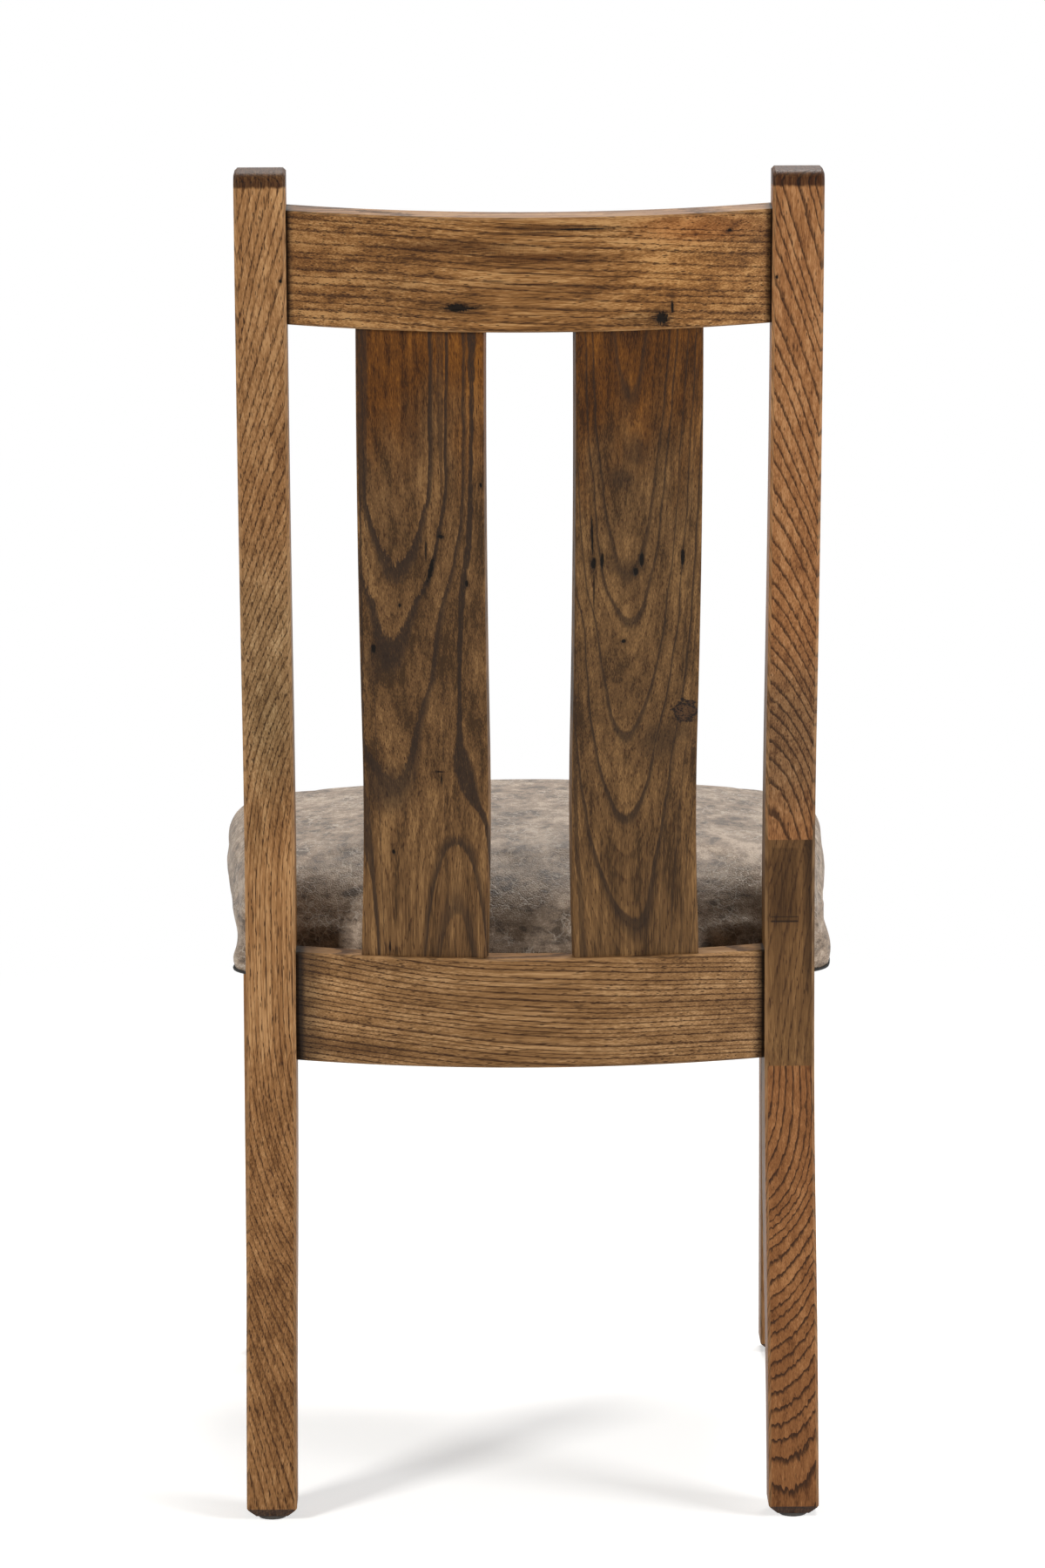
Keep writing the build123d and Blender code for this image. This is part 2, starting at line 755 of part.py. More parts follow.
# Floor glides and their nails
feet = {
    "front_left": (front_foot_x, front_foot_y),
    "front_right": (-front_foot_x, front_foot_y),
    "rear_left": (rear_foot_x, rear_foot_y),
    "rear_right": (-rear_foot_x, rear_foot_y),
}
for foot_name, (foot_x, foot_y) in feet.items():
    build_glide(f"floor_glide_{foot_name}", foot_x, foot_y)
save_group([glide_nail(foot_x, foot_y) for foot_x, foot_y in feet.values()], "glide_nails")
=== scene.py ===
# %% [markdown]
# # A side chair in reclaimed oak
#
# The chair is seen from behind: two swept posts, a crest rail, a lower rail, two wide slats and a
# leather seat pad. Its joinery is already modelled and packed. This lesson loads that model as a
# fixed frame, points a camera at it as the photographer did, and gives every piece its finish.

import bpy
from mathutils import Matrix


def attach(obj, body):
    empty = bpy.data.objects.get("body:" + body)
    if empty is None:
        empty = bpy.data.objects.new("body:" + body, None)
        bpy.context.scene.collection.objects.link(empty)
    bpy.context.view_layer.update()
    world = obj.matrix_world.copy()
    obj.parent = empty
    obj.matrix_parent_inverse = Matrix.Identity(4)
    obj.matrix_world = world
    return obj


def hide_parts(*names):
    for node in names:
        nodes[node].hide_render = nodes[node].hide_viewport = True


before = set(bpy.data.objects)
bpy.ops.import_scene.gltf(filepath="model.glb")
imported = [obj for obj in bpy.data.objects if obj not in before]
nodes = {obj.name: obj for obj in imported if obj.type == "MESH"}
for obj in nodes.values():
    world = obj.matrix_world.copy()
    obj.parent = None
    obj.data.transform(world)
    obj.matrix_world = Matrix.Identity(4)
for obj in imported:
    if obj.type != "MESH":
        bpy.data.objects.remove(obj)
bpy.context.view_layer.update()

# %% Modules
from functools import partial, reduce
from math import cos, radians, sin

import bpy
import numpy as np
from mathutils import Matrix, Vector
from mathutils.bvhtree import BVHTree

MM = 0.001

# %% [markdown]
# ## Camera
#
# A photograph fixes its camera once a few edges of known size are found in it. The posts, rails and
# seat gave this one: 4.5 m behind the chair, 1.29 m up, looking a little down through a long lens.
# The picture was shifted down rather than tilted, so the camera keeps a small vertical shift.

# %% Camera
CAMERA_PLACE = Vector((0.0454, 4.5431, 1.286))
FOCAL_PIXELS = 6710.0
AXIS_PIXEL = (600.0, 650.0)
PICTURE = (1200, 1800)
PITCH, YAW, ROLL = radians(7.36), radians(0.53), radians(0.19)

forward = Vector((-sin(YAW) * cos(PITCH), -cos(YAW) * cos(PITCH), -sin(PITCH)))
level = Vector((-cos(YAW), sin(YAW), 0.0))
upright = level.cross(forward)
picture_right = cos(ROLL) * level - sin(ROLL) * upright
picture_up = sin(ROLL) * level + cos(ROLL) * upright

lens = bpy.data.cameras.new("photo_camera")
lens.sensor_width = 36.0
lens.lens = FOCAL_PIXELS * lens.sensor_width / PICTURE[1]
lens.shift_y = (AXIS_PIXEL[1] - PICTURE[1] / 2) / PICTURE[1]
camera = bpy.data.objects.new("photo_camera", lens)
bpy.context.scene.collection.objects.link(camera)
turn = Matrix((picture_right, picture_up, -forward)).transposed().to_4x4()
camera.matrix_world = Matrix.Translation(CAMERA_PLACE) @ turn
bpy.context.scene.camera = camera


def to_pixel(point):
    """Where a point of the frame falls in the picture: its offsets over its distance."""
    way = Vector(point) - CAMERA_PLACE
    scale = FOCAL_PIXELS / way.dot(forward)
    return (
        round(AXIS_PIXEL[0] + scale * way.dot(picture_right), 1),
        round(AXIS_PIXEL[1] - scale * way.dot(picture_up), 1),
    )


def surface_point(node, pixel):
    """The point of a node that a pixel of the picture shows, in millimetres, found by a ray."""
    mesh = nodes[node].data
    corners = [v.co for v in mesh.vertices]
    tree = BVHTree.FromPolygons(corners, [tuple(p.vertices) for p in mesh.polygons])
    x, y = pixel[0] - AXIS_PIXEL[0], pixel[1] - AXIS_PIXEL[1]
    ray = forward * FOCAL_PIXELS + picture_right * x - picture_up * y
    hit = tree.ray_cast(CAMERA_PLACE, ray.normalized())[0]
    return tuple(round(part / MM, 2) for part in hit)


print("lens mm:", round(lens.lens, 1), "shift:", round(lens.shift_y, 4))
print("left post at the seat falls at pixel", to_pixel((0.217, 0.1631, 0.43)))

# %% [markdown]
# ## Light and floor
#
# The product was lit softly on pure white: most of it from behind the photographer on the left,
# less from low down on the right, and some from above its front. Three area lamps do that. The
# white comes from the floor and the world, which look white to the camera and in reflections but
# light the chair only softly.

# %% Shader helpers
def home(*feeds):
    """The node tree of the first feed that is a node's output."""
    return next(one.id_data for one in feeds if isinstance(one, bpy.types.NodeSocket))


def feed(sockets, feeds):
    """Feeds inputs, found by place or by name, with values or with other nodes' outputs."""
    for key, value in feeds.items():
        if isinstance(value, bpy.types.NodeSocket):
            value.id_data.links.new(value, sockets[key])
        elif value is not None:
            sockets[key].default_value = value


def put(tree, kind, *feeds, out=0, **words):
    """Adds a shader node and returns one of its outputs.

    Feeds go to its inputs in order. A word with a capital names an input, and one without is a
    setting of the node.
    """
    node = tree.nodes.new("ShaderNode" + kind)
    inputs = dict(enumerate(feeds))
    for word, value in words.items():
        if word[0].isupper():
            inputs[word.replace("_", " ")] = value
        else:
            setattr(node, word, value)
    feed(node.inputs, inputs)
    return node.outputs[out]


def calc(way, *feeds):
    """A sum of one to three numbers."""
    return put(home(*feeds), "Math", *feeds, operation=way)


plus, minus = partial(calc, "ADD"), partial(calc, "SUBTRACT")
times, over = partial(calc, "MULTIPLY"), partial(calc, "DIVIDE")
times_plus, larger = partial(calc, "MULTIPLY_ADD"), partial(calc, "MAXIMUM")


def vector_calc(way, *feeds, out=0):
    """A sum of vectors. A length is its output 1."""
    return put(home(*feeds), "VectorMath", *feeds, operation=way, out=out)


def parts(vector):
    """The three parts of a vector."""
    return put(home(vector), "SeparateXYZ", vector).node.outputs


def fade(value, low, high, start=0.0, end=1.0):
    """A number that goes softly from start to end as value goes from low to high."""
    kind = "SMOOTHSTEP"
    return put(home(value), "MapRange", value, low, high, start, end, interpolation_type=kind)


def between(value, low, high, soft):
    """1 where a value lies between two bounds, with soft ends."""
    rise = fade(value, low - soft, low + soft)
    return times(rise, fade(value, high - soft, high + soft, 1.0, 0.0))


def blend(share, first, second, way="MIX"):
    """Two colours blended by a share."""
    spare = (None,) * 5
    return put(
        home(share), "Mix", share, *spare, first, second, out=2, data_type="RGBA", blend_type=way
    )


def curve(value, points):
    """A smooth curve through points of (value, result), held level beyond both ends."""
    values, results = zip(*points)
    least, most = min(results), max(results)
    span = values[-1] - values[0]
    tree = home(value)
    place = put(tree, "MapRange", value, values[0], values[-1], 0.0, 1.0)
    shape = put(tree, "FloatCurve", 1.0, place)
    line = shape.node.mapping.curves[0].points
    spots = [((v - values[0]) / span, (r - least) / (most - least)) for v, r in points]
    line[0].location, line[1].location = spots[0], spots[-1]
    for spot in spots[1:-1]:
        line.new(*spot)
    shape.node.mapping.update()
    return put(tree, "MapRange", shape, 0.0, 1.0, least, most)


def cloud(vector, size, detail=2.0, roughness=0.5):
    """Noise from 0 to 1 whose patches have the given size along each axis."""
    scaled, tree = vector_calc("DIVIDE", vector, size), home(vector)
    return put(tree, "TexNoise", Vector=scaled, Scale=1.0, Detail=detail, Roughness=roughness)


def swing(noise, reach):
    """Noise from 0 to 1 turned to a swing of half its reach to either side of 0."""
    return times(minus(noise, 0.5), reach)


def metres(tree):
    """Object positions, in metres."""
    return put(tree, "TexCoord", out=3)


def millimetres(tree, grain=(0.0, 0.0, 0.0)):
    """Object positions in millimetres, turned so that Z runs along the grain."""
    return put(tree, "Mapping", metres(tree), Rotation=grain, Scale=(1 / MM,) * 3)


def seen_rays(tree):
    """1 for rays of the camera, of reflections and through glass, and 0 for all others."""
    path = tree.nodes.new("ShaderNodeLightPath").outputs
    return reduce(larger, [path[f"Is {kind} Ray"] for kind in ("Camera", "Glossy", "Transmission")])


def paint(red, green, blue):
    """A colour as the eye reads it, from 0 to 255, in the linear numbers a shader wants."""
    seen = np.array((red, green, blue)) / 255
    linear = np.where(seen <= 0.04045, seen / 12.92, ((seen + 0.055) / 1.055) ** 2.4)
    return (*linear.tolist(), 1.0)


def new_material(name):
    """An empty material with its node tree and the inputs of its main shader."""
    material = bpy.data.materials.new(name)
    material.use_nodes = True
    tree = material.node_tree
    return material, tree, tree.nodes["Principled BSDF"].inputs


def new_group(name, inputs, outputs):
    """A node group. Inputs are {label: value}, None for a bare vector, outputs {label: kind}."""
    tree = bpy.data.node_groups.new(name, "ShaderNodeTree")
    kinds = {1: "Float", 3: "Vector", 4: "Color"}
    for label, value in inputs.items():
        kind = "NodeSocket" + ("Vector" if value is None else kinds[np.size(value)])
        socket = tree.interface.new_socket(label, in_out="INPUT", socket_type=kind)
        if value is not None:
            socket.default_value = value
    for label, kind in outputs.items():
        tree.interface.new_socket(label, in_out="OUTPUT", socket_type="NodeSocket" + kind)
    given = tree.nodes.new("NodeGroupInput").outputs
    wanted = tree.nodes.new("NodeGroupOutput").inputs
    return tree, given, wanted


# %% Mesh helpers
def smooth(mesh):
    """Shades a mesh smoothly."""
    mesh.polygons.foreach_set("use_smooth", [True] * len(mesh.polygons))


def new_piece(name, points, faces):
    """A smooth mesh object from arrays of points, in metres, and faces."""
    mesh = bpy.data.meshes.new(name)
    mesh.from_pydata(np.asarray(points).tolist(), [], [tuple(f) for f in faces])
    mesh.update()
    smooth(mesh)
    piece = bpy.data.objects.new(name, mesh)
    bpy.context.scene.collection.objects.link(piece)
    return piece


def grid_faces(rows, count):
    """Faces between neighbouring rows of a grid whose rows close on themselves."""
    row, place = np.meshgrid(np.arange(rows - 1), np.arange(count), indexing="ij")
    after = (place + 1) % count
    corners = (row * count + place, row * count + after, (row + 1) * count + after)
    last = (row + 1) * count + place
    return np.stack((*corners, last), axis=-1).reshape(-1, 4)


def shell(grid):
    """Points and faces of a closed shell: a grid of rings with one point at each end."""
    rows, count = grid.shape[:2]
    ends = (grid[0].mean(axis=0), grid[-1].mean(axis=0))
    points = np.vstack((grid.reshape(-1, 3), *ends))
    place = np.arange(count)
    after = (place + 1) % count
    start, end = rows * count, rows * count + 1
    last = (rows - 1) * count
    fans = [np.stack((after, place, np.full(count, start)), axis=-1)]
    fans.append(np.stack((last + place, last + after, np.full(count, end)), axis=-1))
    faces = grid_faces(rows, count).tolist()
    return points, faces + np.vstack(fans).tolist()


# %% Lamps and world
def area_lamp(name, place, target, size, watts, colour):
    """A square soft lamp that faces a target."""
    lamp = bpy.data.lights.new(name, "AREA")
    lamp.size, lamp.energy, lamp.color = size, watts, colour
    holder = bpy.data.objects.new(name, lamp)
    bpy.context.scene.collection.objects.link(holder)
    way = Vector(target) - Vector(place)
    holder.rotation_mode = "QUATERNION"
    holder.rotation_quaternion = way.to_track_quat("-Z", "Y")
    holder.location = place
    return holder


area_lamp("key_lamp", (2.9, 2.9, 2.4), (0.0, 0.1, 0.6), 0.9, 123.0, (1.0, 0.985, 0.95))
area_lamp("top_lamp", (-0.3, -1.4, 3.1), (0.0, -0.1, 0.5), 1.2, 74.0, (1.0, 0.99, 0.97))
area_lamp("side_lamp", (-3.0, 1.8, 1.3), (0.0, 0.1, 0.5), 1.2, 88.0, (1.0, 1.0, 1.0))


AMBIENT, WARM_SKY, WHITE = 0.105, (1.0, 0.93, 0.84, 1.0), (1.0, 1.0, 1.0, 1.0)
world = bpy.data.worlds.new("white_studio")
bpy.context.scene.world = world
world.use_nodes = True
sky = world.node_tree
seen = seen_rays(sky)
strength = put(sky, "MapRange", seen, 0.0, 1.0, AMBIENT, 1.0)
tint = blend(seen, WARM_SKY, WHITE)
feed(sky.nodes["Background"].inputs, {"Strength": strength, "Color": tint})
bpy.context.scene.view_settings.view_transform = "Standard"

# %% Floor
FLOOR_RADIUS, RIM_COUNT, FLOOR_GLOW = 6.0, 96, 0.5
turns = np.linspace(0.0, 2 * np.pi, RIM_COUNT, endpoint=False)
rim = np.stack((np.cos(turns), np.sin(turns), np.zeros(RIM_COUNT)), axis=-1)
radii = np.array([0.02, 0.5, 1.0, 2.0, 4.0, FLOOR_RADIUS])
rings = rim[None] * radii[:, None, None]
floor_faces = grid_faces(len(radii), RIM_COUNT).tolist() + [list(range(RIM_COUNT))[::-1]]
floor = new_piece("studio_floor", rings.reshape(-1, 3), [f[::-1] for f in floor_faces])

material, tree, inputs = new_material("pale_floor")
feed(inputs, {"Base Color": (0.86, 0.86, 0.86, 1.0), "Roughness": 1.0, "Specular IOR Level": 0.0})
far = fade(vector_calc("LENGTH", metres(tree), out=1), 0.7, 2.0)
grey = tree.nodes["Principled BSDF"].outputs[0]
lit = put(tree, "AddShader", grey, put(tree, "Emission", WHITE, FLOOR_GLOW))
near_white = put(tree, "MixShader", far, lit, put(tree, "Emission", WHITE, 1.0))
whole = put(tree, "MixShader", seen_rays(tree), grey, near_white)
feed(tree.nodes["Material Output"].inputs, {"Surface": whole})
floor.data.materials.append(material)
print("floor radius m:", FLOOR_RADIUS)

# %% [markdown]
# ## Oak
#
# Every board is cut from a trunk, and its face shows where the saw crossed the year rings. So the
# rings are worked out in space, as distance from a pith that leans past the board, and each face
# shows its own pattern: straight lines, long slants or arches. Open pores lie in rows where each
# ring starts, as short dark dashes along the grain. The same groups serve all boards, each with its
# own pith and tones. Positions are turned to millimetres with Z along the grain first.

# %% Year rings
ring_group, given, wanted = new_group(
    "Year rings",
    {
        "Vector": None,
        "Pith": (0.0, 80.0, 0.0),
        "Lean X": 0.0,
        "Lean Y": 0.0,
        "Ring Width": 4.5,
        "Sway": 8.0,
        "Ragged": 1.2,
    },
    {"Rings": "Float"},
)
spot = given["Vector"]
axes, pith = parts(spot), parts(given["Pith"])
sway = swing(cloud(spot, (120.0, 120.0, 260.0), detail=1.0), given["Sway"])
across = minus(axes[0], times_plus(axes[2], given["Lean X"], pith[0]))
deep = minus(axes[1], times_plus(axes[2], given["Lean Y"], pith[1]))
radius = calc("SQRT", times_plus(across, across, times(deep, deep)))
teeth = swing(cloud(spot, (2.6, 2.6, 15.0), detail=1.0), given["Ragged"])
radius = plus(plus(radius, sway), teeth)
uneven = put(
    ring_group, "TexNoise", W=over(radius, 17.0), Scale=1.0, Detail=1.0, noise_dimensions="1D"
)
rings = times_plus(uneven, 2.2, over(radius, given["Ring Width"]))
feed(wanted, {"Rings": rings})
print("ring group nodes:", len(ring_group.nodes))

# %% Timber
timber_group, given, wanted = new_group(
    "Timber",
    {
        "Vector": None,
        "Rings": 0.0,
        "Dark": paint(100, 66, 38),
        "Middle": paint(143, 103, 68),
        "Light": paint(176, 135, 96),
        "Pore Colour": paint(52, 31, 16),
        "Ring Contrast": 0.3,
        "Pore Amount": 1.0,
        "Fibre Contrast": 1.5,
        "Cloud Contrast": 0.8,
        "Tone": 0.0,
        "Streaks": 0.35,
        "Streak Length": 60.0,
        "Line Depth": 0.2,
    },
    {"Colour": "Color", "Height": "Float", "Roughness": "Float"},
)
spot = given["Vector"]
place, number = calc("FRACT", given["Rings"]), calc("FLOOR", given["Rings"])
year = put(timber_group, "TexWhiteNoise", W=number, noise_dimensions="1D")
early = plus(fade(place, 0.05, 0.36, 1.0, 0.0), fade(place, 0.94, 1.0))
early = calc("MINIMUM", early, 1.0)
fine = cloud(spot, (0.6, 0.6, 14.0), detail=2.0, roughness=0.6)
broad = cloud(spot, (3.2, 3.2, 110.0), detail=3.0, roughness=0.6)
patch = cloud(spot, (14.0, 14.0, 130.0), detail=3.0)
fibre = plus(swing(fine, 0.95), swing(broad, 0.7))
tone = times_plus(fibre, given["Fibre Contrast"], 0.5)
tone = plus(plus(tone, swing(patch, given["Cloud Contrast"])), swing(year, 0.16))
tone = minus(tone, times(minus(early, 0.35), given["Ring Contrast"]))
tone = plus(tone, given["Tone"])
colour = blend(fade(tone, 0.0, 0.5), given["Dark"], given["Middle"])
colour = blend(fade(tone, 0.48, 0.98), colour, given["Light"])


def pores(vector, size, share):
    """Dashes along the grain: stretched cells, of which a share holds a pore."""
    scaled, tree = vector_calc("DIVIDE", vector, size), home(vector)
    cell = put(tree, "TexVoronoi", Vector=scaled, Scale=1.0, Randomness=1.0).node.outputs
    chosen = fade(minus(share, parts(cell["Color"])[0]), -0.03, 0.03)
    return times(fade(cell["Distance"], 0.42, 0.2, 0.0, 1.0), chosen)


share = times(times_plus(early, 0.85, 0.08), given["Pore Amount"])
short = pores(spot, (1.05, 1.05, 6.5), share)
long = pores(spot, (1.35, 1.35, 15.0), times(share, 0.55))
long_way = put(timber_group, "CombineXYZ", 1.5, 1.5, given["Streak Length"])
streak = pores(spot, long_way, times(share, given["Streaks"]))
pore = larger(larger(short, long), streak)
breaks = fade(cloud(spot, (1.3, 1.3, 8.0), detail=2.0), 0.32, 0.46)
line = plus(fade(place, 0.05, 0.3, 1.0, 0.0), fade(place, 0.96, 1.0))
line = times(calc("MINIMUM", line, 1.0), times_plus(breaks, 0.55, 0.45))
colour = blend(times(line, given["Line Depth"]), colour, given["Pore Colour"])
colour = blend(times(pore, 0.92), colour, given["Pore Colour"])
height = minus(times_plus(fine, 0.35, times(pore, -1.0)), times(early, 0.25))
rough = times_plus(pore, 0.25, times_plus(fine, 0.16, 0.42))
feed(wanted, {"Colour": colour, "Height": height, "Roughness": rough})
print("timber group nodes:", len(timber_group.nodes))

# %% Worn arrises with a painted highlight
wear_and_highlight_group, given, wanted = new_group("Worn and highlighted arrises", {"Vector": None}, {"Mask": "Float"})
facing = parts(put(wear_and_highlight_group, "NewGeometry", out=1))


def slant(part):
    """Nearly 1 on a face that lies between an axis and the other two, and 0 on square faces."""
    rest = calc("SQRT", minus(1.0001, times(part, part)))
    return times(times(calc("ABSOLUTE", part), rest), 2.0)


# Chamfered arrises are found by their slanting normals. They are lightened for wear and as a
# painted highlight.
edge = fade(larger(slant(facing[0]), slant(facing[2])), 0.74, 0.95)
broken = fade(cloud(given["Vector"], (5.0, 5.0, 24.0), detail=3.0), 0.36, 0.62)
feed(wanted, {"Mask": times(edge, times_plus(broken, 0.75, 0.25))})
print("wear group nodes:", len(wear_and_highlight_group.nodes))

# %% Marks
mark_group, given, wanted = new_group(
    "Mark",
    {"Vector": None, "Centre": None, "Size": (1.0, 1.0, 1.0), "Slant": 0.0, "Ragged": 0.3},
    {"Core": "Float", "Halo": "Float"},
)
spot = given["Vector"]
away = parts(vector_calc("SUBTRACT", spot, given["Centre"]))
shifted = minus(away[0], times(away[2], given["Slant"]))
away = put(mark_group, "CombineXYZ", shifted, away[1], away[2])
away = vector_calc("LENGTH", vector_calc("DIVIDE", away, given["Size"]), out=1)
rough = swing(cloud(spot, (1.1, 1.1, 3.0), detail=2.0), given["Ragged"])
away = plus(away, times(rough, 2.0))
feed(wanted, {"Core": fade(away, 1.2, 0.75, 0.0, 1.0), "Halo": fade(away, 3.2, 0.6, 0.0, 1.0)})
print("mark group nodes:", len(mark_group.nodes))

# %% A board's material
UPRIGHT, LEVEL, DEEP = (0.0, 0.0, 0.0), (0.0, radians(90), 0.0), (radians(90), 0.0, 0.0)
SHOULDER_X, POST_TOP = 0.179, 1.0135
# The arris colour is lighter for wear and also as a painted highlight.
# The shoulder colour is the black of the joint line and of the painted shadow beside it.
WORN_AND_LIT, IRON_STAIN, HOLE, JOINT_LINE_AND_SHADOW = (190, 150, 106), (52, 40, 36), (11, 8, 6), (20, 13, 9)
END_TINT = (100, 83, 70)


def mark(space, centre, size, ragged, lean=0.0):
    """The core and the halo of one mark, placed and sized in millimetres."""
    return put(
        home(space), "Group", node_tree=mark_group, Vector=space, Centre=centre, Size=size,
        Slant=lean, Ragged=ragged,
    ).node.outputs


def end_grain(tree, space):
    """Dark ragged end grain on level faces and on a post's rounded top."""
    facing = parts(put(tree, "NewGeometry", out=1))[2]
    top = times_plus(cloud(space, (2.5, 2.5, 9.0)), 0.004, parts(metres(tree))[2])
    cut_end = fade(calc("ABSOLUTE", facing), 0.4, 0.55)
    cut_end = larger(cut_end, fade(top, POST_TOP, POST_TOP + 0.0025))
    return times(cut_end, times_plus(cloud(space, (1.2, 9.0, 9.0)), 0.8, 0.5))


def finish_wood(tree, inputs, wood, colour, space, node, marks, worn_and_lit=WORN_AND_LIT, joints=None, ends=False):
    """Adds marks, dark end grain, worn arrises with a painted highlight and a black shoulder line
    with painted shadow to timber, and feeds the shader.
    """
    height, rough = wood["Height"], wood["Roughness"]
    wear_and_highlight = put(tree, "Group", node_tree=wear_and_highlight_group, Vector=space)
    # Lightens the arrises for wear and as a painted highlight.
    colour = blend(times(wear_and_highlight, 0.3), colour, paint(*worn_and_lit))
    if ends:
        colour = blend(end_grain(tree, space), colour, paint(*END_TINT), "MULTIPLY")
    if marks:
        plain, found = millimetres(tree), []
        for pixel, half_width, half_length, lean, ragged in marks.values():
            size = (half_width, MARK_DEPTH, half_length)
            found.append(mark(plain, surface_point(node, pixel), size, ragged, lean))
        core, halo = (reduce(larger, [one[kind] for one in found]) for kind in ("Core", "Halo"))
        colour = blend(times(halo, 0.45), colour, paint(*IRON_STAIN), "MULTIPLY")
        colour = blend(times(core, 0.96), colour, paint(*HOLE))
        height = minus(height, times(core, 5.0))
        rough = times_plus(core, 0.3, rough)
    if joints is not None:
        # The black shoulder joint line and the painted shadow of the posts on the rails.
        colour = blend(joints, colour, paint(*JOINT_LINE_AND_SHADOW))
    bump = put(tree, "Bump", Strength=0.55, Distance=0.00022, Height=height)
    words = {"Base Color": colour, "Roughness": rough, "Normal": bump, "Specular IOR Level": 0.13}
    feed(inputs, words)


def stains(tree, colour, node, patches):
    """Tints a colour in soft ragged patches of (pixel, size, share, tint)."""
    space = millimetres(tree)
    for pixel, size, share, tint in patches:
        found = mark(space, surface_point(node, pixel), size, 0.6)["Halo"]
        colour = blend(times(found, share), colour, paint(*tint), "MULTIPLY")
    return colour


def shoulder_shade(across, reaches):
    """A black joint line and painted shadow at the shoulders, reaching so far in at +X and at -X,
    in metres.
    """
    shades = []
    for side, reach in zip((1.0, -1.0), reaches):
        away = times(across, side)
        # Black at the joint line, then a painted shadow of the post fading out along the rail.
        black = fade(away, SHOULDER_X - 0.45 * reach, SHOULDER_X - 0.12 * reach, 0.0, 0.95)
        painted_shadow = fade(away, SHOULDER_X - reach, SHOULDER_X - 0.2 * reach, 0.0, 0.6)
        shades.append(larger(black, painted_shadow))
    return larger(*shades)


def timber(tree, space, rings, tones, **words):
    """The outputs of the timber group, with three tones from dark to light."""
    tones = dict(zip(("Dark", "Middle", "Light"), (paint(*tone) for tone in tones)))
    group = {"node_tree": timber_group, "Vector": space, "Rings": rings}
    return put(tree, "Group", **group, **tones, **words).node.outputs


def dress(material, *names):
    """Gives CAD nodes a material in their slots."""
    for name in names:
        node = nodes[name]
        if not node.material_slots:
            node.data.materials.append(material)
        for slot in node.material_slots:
            slot.material = material
    print(material.name, "on", *names)


def board(name, pieces, grain, rings, tones, marks=None, gradient=None, reaches=None, ends=False,
          patches=(), touch=None, **words):
    """Dresses pieces as a plain board: rings about its own pith, tones, stains, marks, worn arrises
    with a painted highlight and painted shadow at the shoulders.

    Marks and patches are found by a ray on the first of the pieces.
    """
    material, tree, inputs = new_material(name)
    space = millimetres(tree, grain)
    field = put(tree, "Group", node_tree=ring_group, Vector=space, **rings)
    axes = parts(metres(tree))
    if gradient is not None:
        words["Tone"] = curve(axes[2], gradient)
    wood = timber(tree, space, field, tones, **words)
    colour = stains(tree, wood["Colour"], pieces[0], patches)
    if touch is not None:
        colour = touch(axes, colour)
    joints = None if reaches is None else shoulder_shade(axes[0], reaches)
    finish_wood(tree, inputs, wood, colour, space, pieces[0], marks, joints=joints, ends=ends)
    dress(material, *pieces)


# %% [markdown]
# ## Marks from the old boards
#
# The oak was something else before. Nail holes with black iron stain, splits and a knot are its
# best-known marks, and each is named here by its place in the picture. A ray finds the spot on the
# board, so the mark sits in the wood and shows from any side.

# %% Places of the marks, in pixels of the 1200 x 1800 picture
# Each mark is (pixel, half width, half length, slant, ragged), with its sizes in millimetres.
MARK_DEPTH = 4.0
CREST_MARKS = {
    "long nail hole": ((525, 353.5), 8.2, 2.9, 0.0, 0.5),
    "tails of the long hole": ((528, 354), 14.0, 1.1, -5.0, 0.35),
    "nail hole by the split": ((760, 365), 4.8, 4.4, 0.0, 0.8),
    "split above it": ((772, 352), 0.9, 5.0, 0.05, 0.4),
    "slanting split": ((668, 263), 18.0, 0.6, -9.0, 0.4),
    "small knot": ((838, 264), 1.6, 0.9, 0.0, 0.6),
}
LEFT_SLAT_MARKS = {
    "upper hole": ((552, 557), 1.0, 1.8, 0.0, 0.3),
    "hole beside the gouge": ((536, 670), 1.3, 2.6, 0.0, 0.3),
    "gouge": ((494, 655), 1.7, 12.0, -0.22, 0.9),
    "split over the gouge": ((489, 632), 0.5, 9.0, 0.0, 0.4),
    "knee of the second arch": ((506, 616), 2.0, 1.6, 0.0, 0.8),
    "middle hole": ((459, 695), 1.1, 1.4, 0.0, 0.3),
    "edge hole": ((429, 744.5), 1.7, 3.4, 0.0, 0.4),
    "low hole": ((452, 978), 1.2, 1.8, 0.0, 0.5),
    "corner mark": ((505, 886), 3.0, 0.5, 0.0, 0.7),
    "corner mark tail": ((507, 894), 0.6, 3.5, 0.0, 0.7),
    "bottom split": ((448, 1086), 0.45, 4.0, 0.0, 0.4),
}
RIGHT_SLAT_MARKS = {
    "hole one": ((681.5, 647), 1.9, 4.6, 0.0, 0.4),
    "hole two": ((691.5, 643), 1.3, 6.5, 0.0, 0.4),
    "hole three": ((737, 642.5), 1.7, 5.6, 0.0, 0.4),
    "hole four": ((730, 656), 1.7, 3.0, 0.0, 0.5),
    "hole five": ((784, 639.5), 1.6, 6.4, 0.0, 0.4),
    "hole six": ((716, 736), 1.6, 1.5, 0.0, 0.4),
    "long split": ((680, 615), 0.75, 24.0, 0.03, 0.5),
    "split under it": ((682, 680), 0.4, 20.0, 0.0, 0.5),
}
LEFT_POST_MARKS = {"brad": ((322, 323), 1.1, 1.3, 0.0, 0.3)}
RIGHT_POST_MARKS = {"brad": ((892, 318), 1.1, 1.3, 0.0, 0.3)}

# %% [markdown]
# ## Posts
#
# A swept post is sawn from a straight board, so its rings run on while its face bends away from
# them. Rings that lie aslant in the section then show as lines that lean one way above the seat and
# the other way in the foot, as in the picture. The right post is glued up from three pieces of a
# redder board, and the darker front layer comes to the surface between two level cuts.

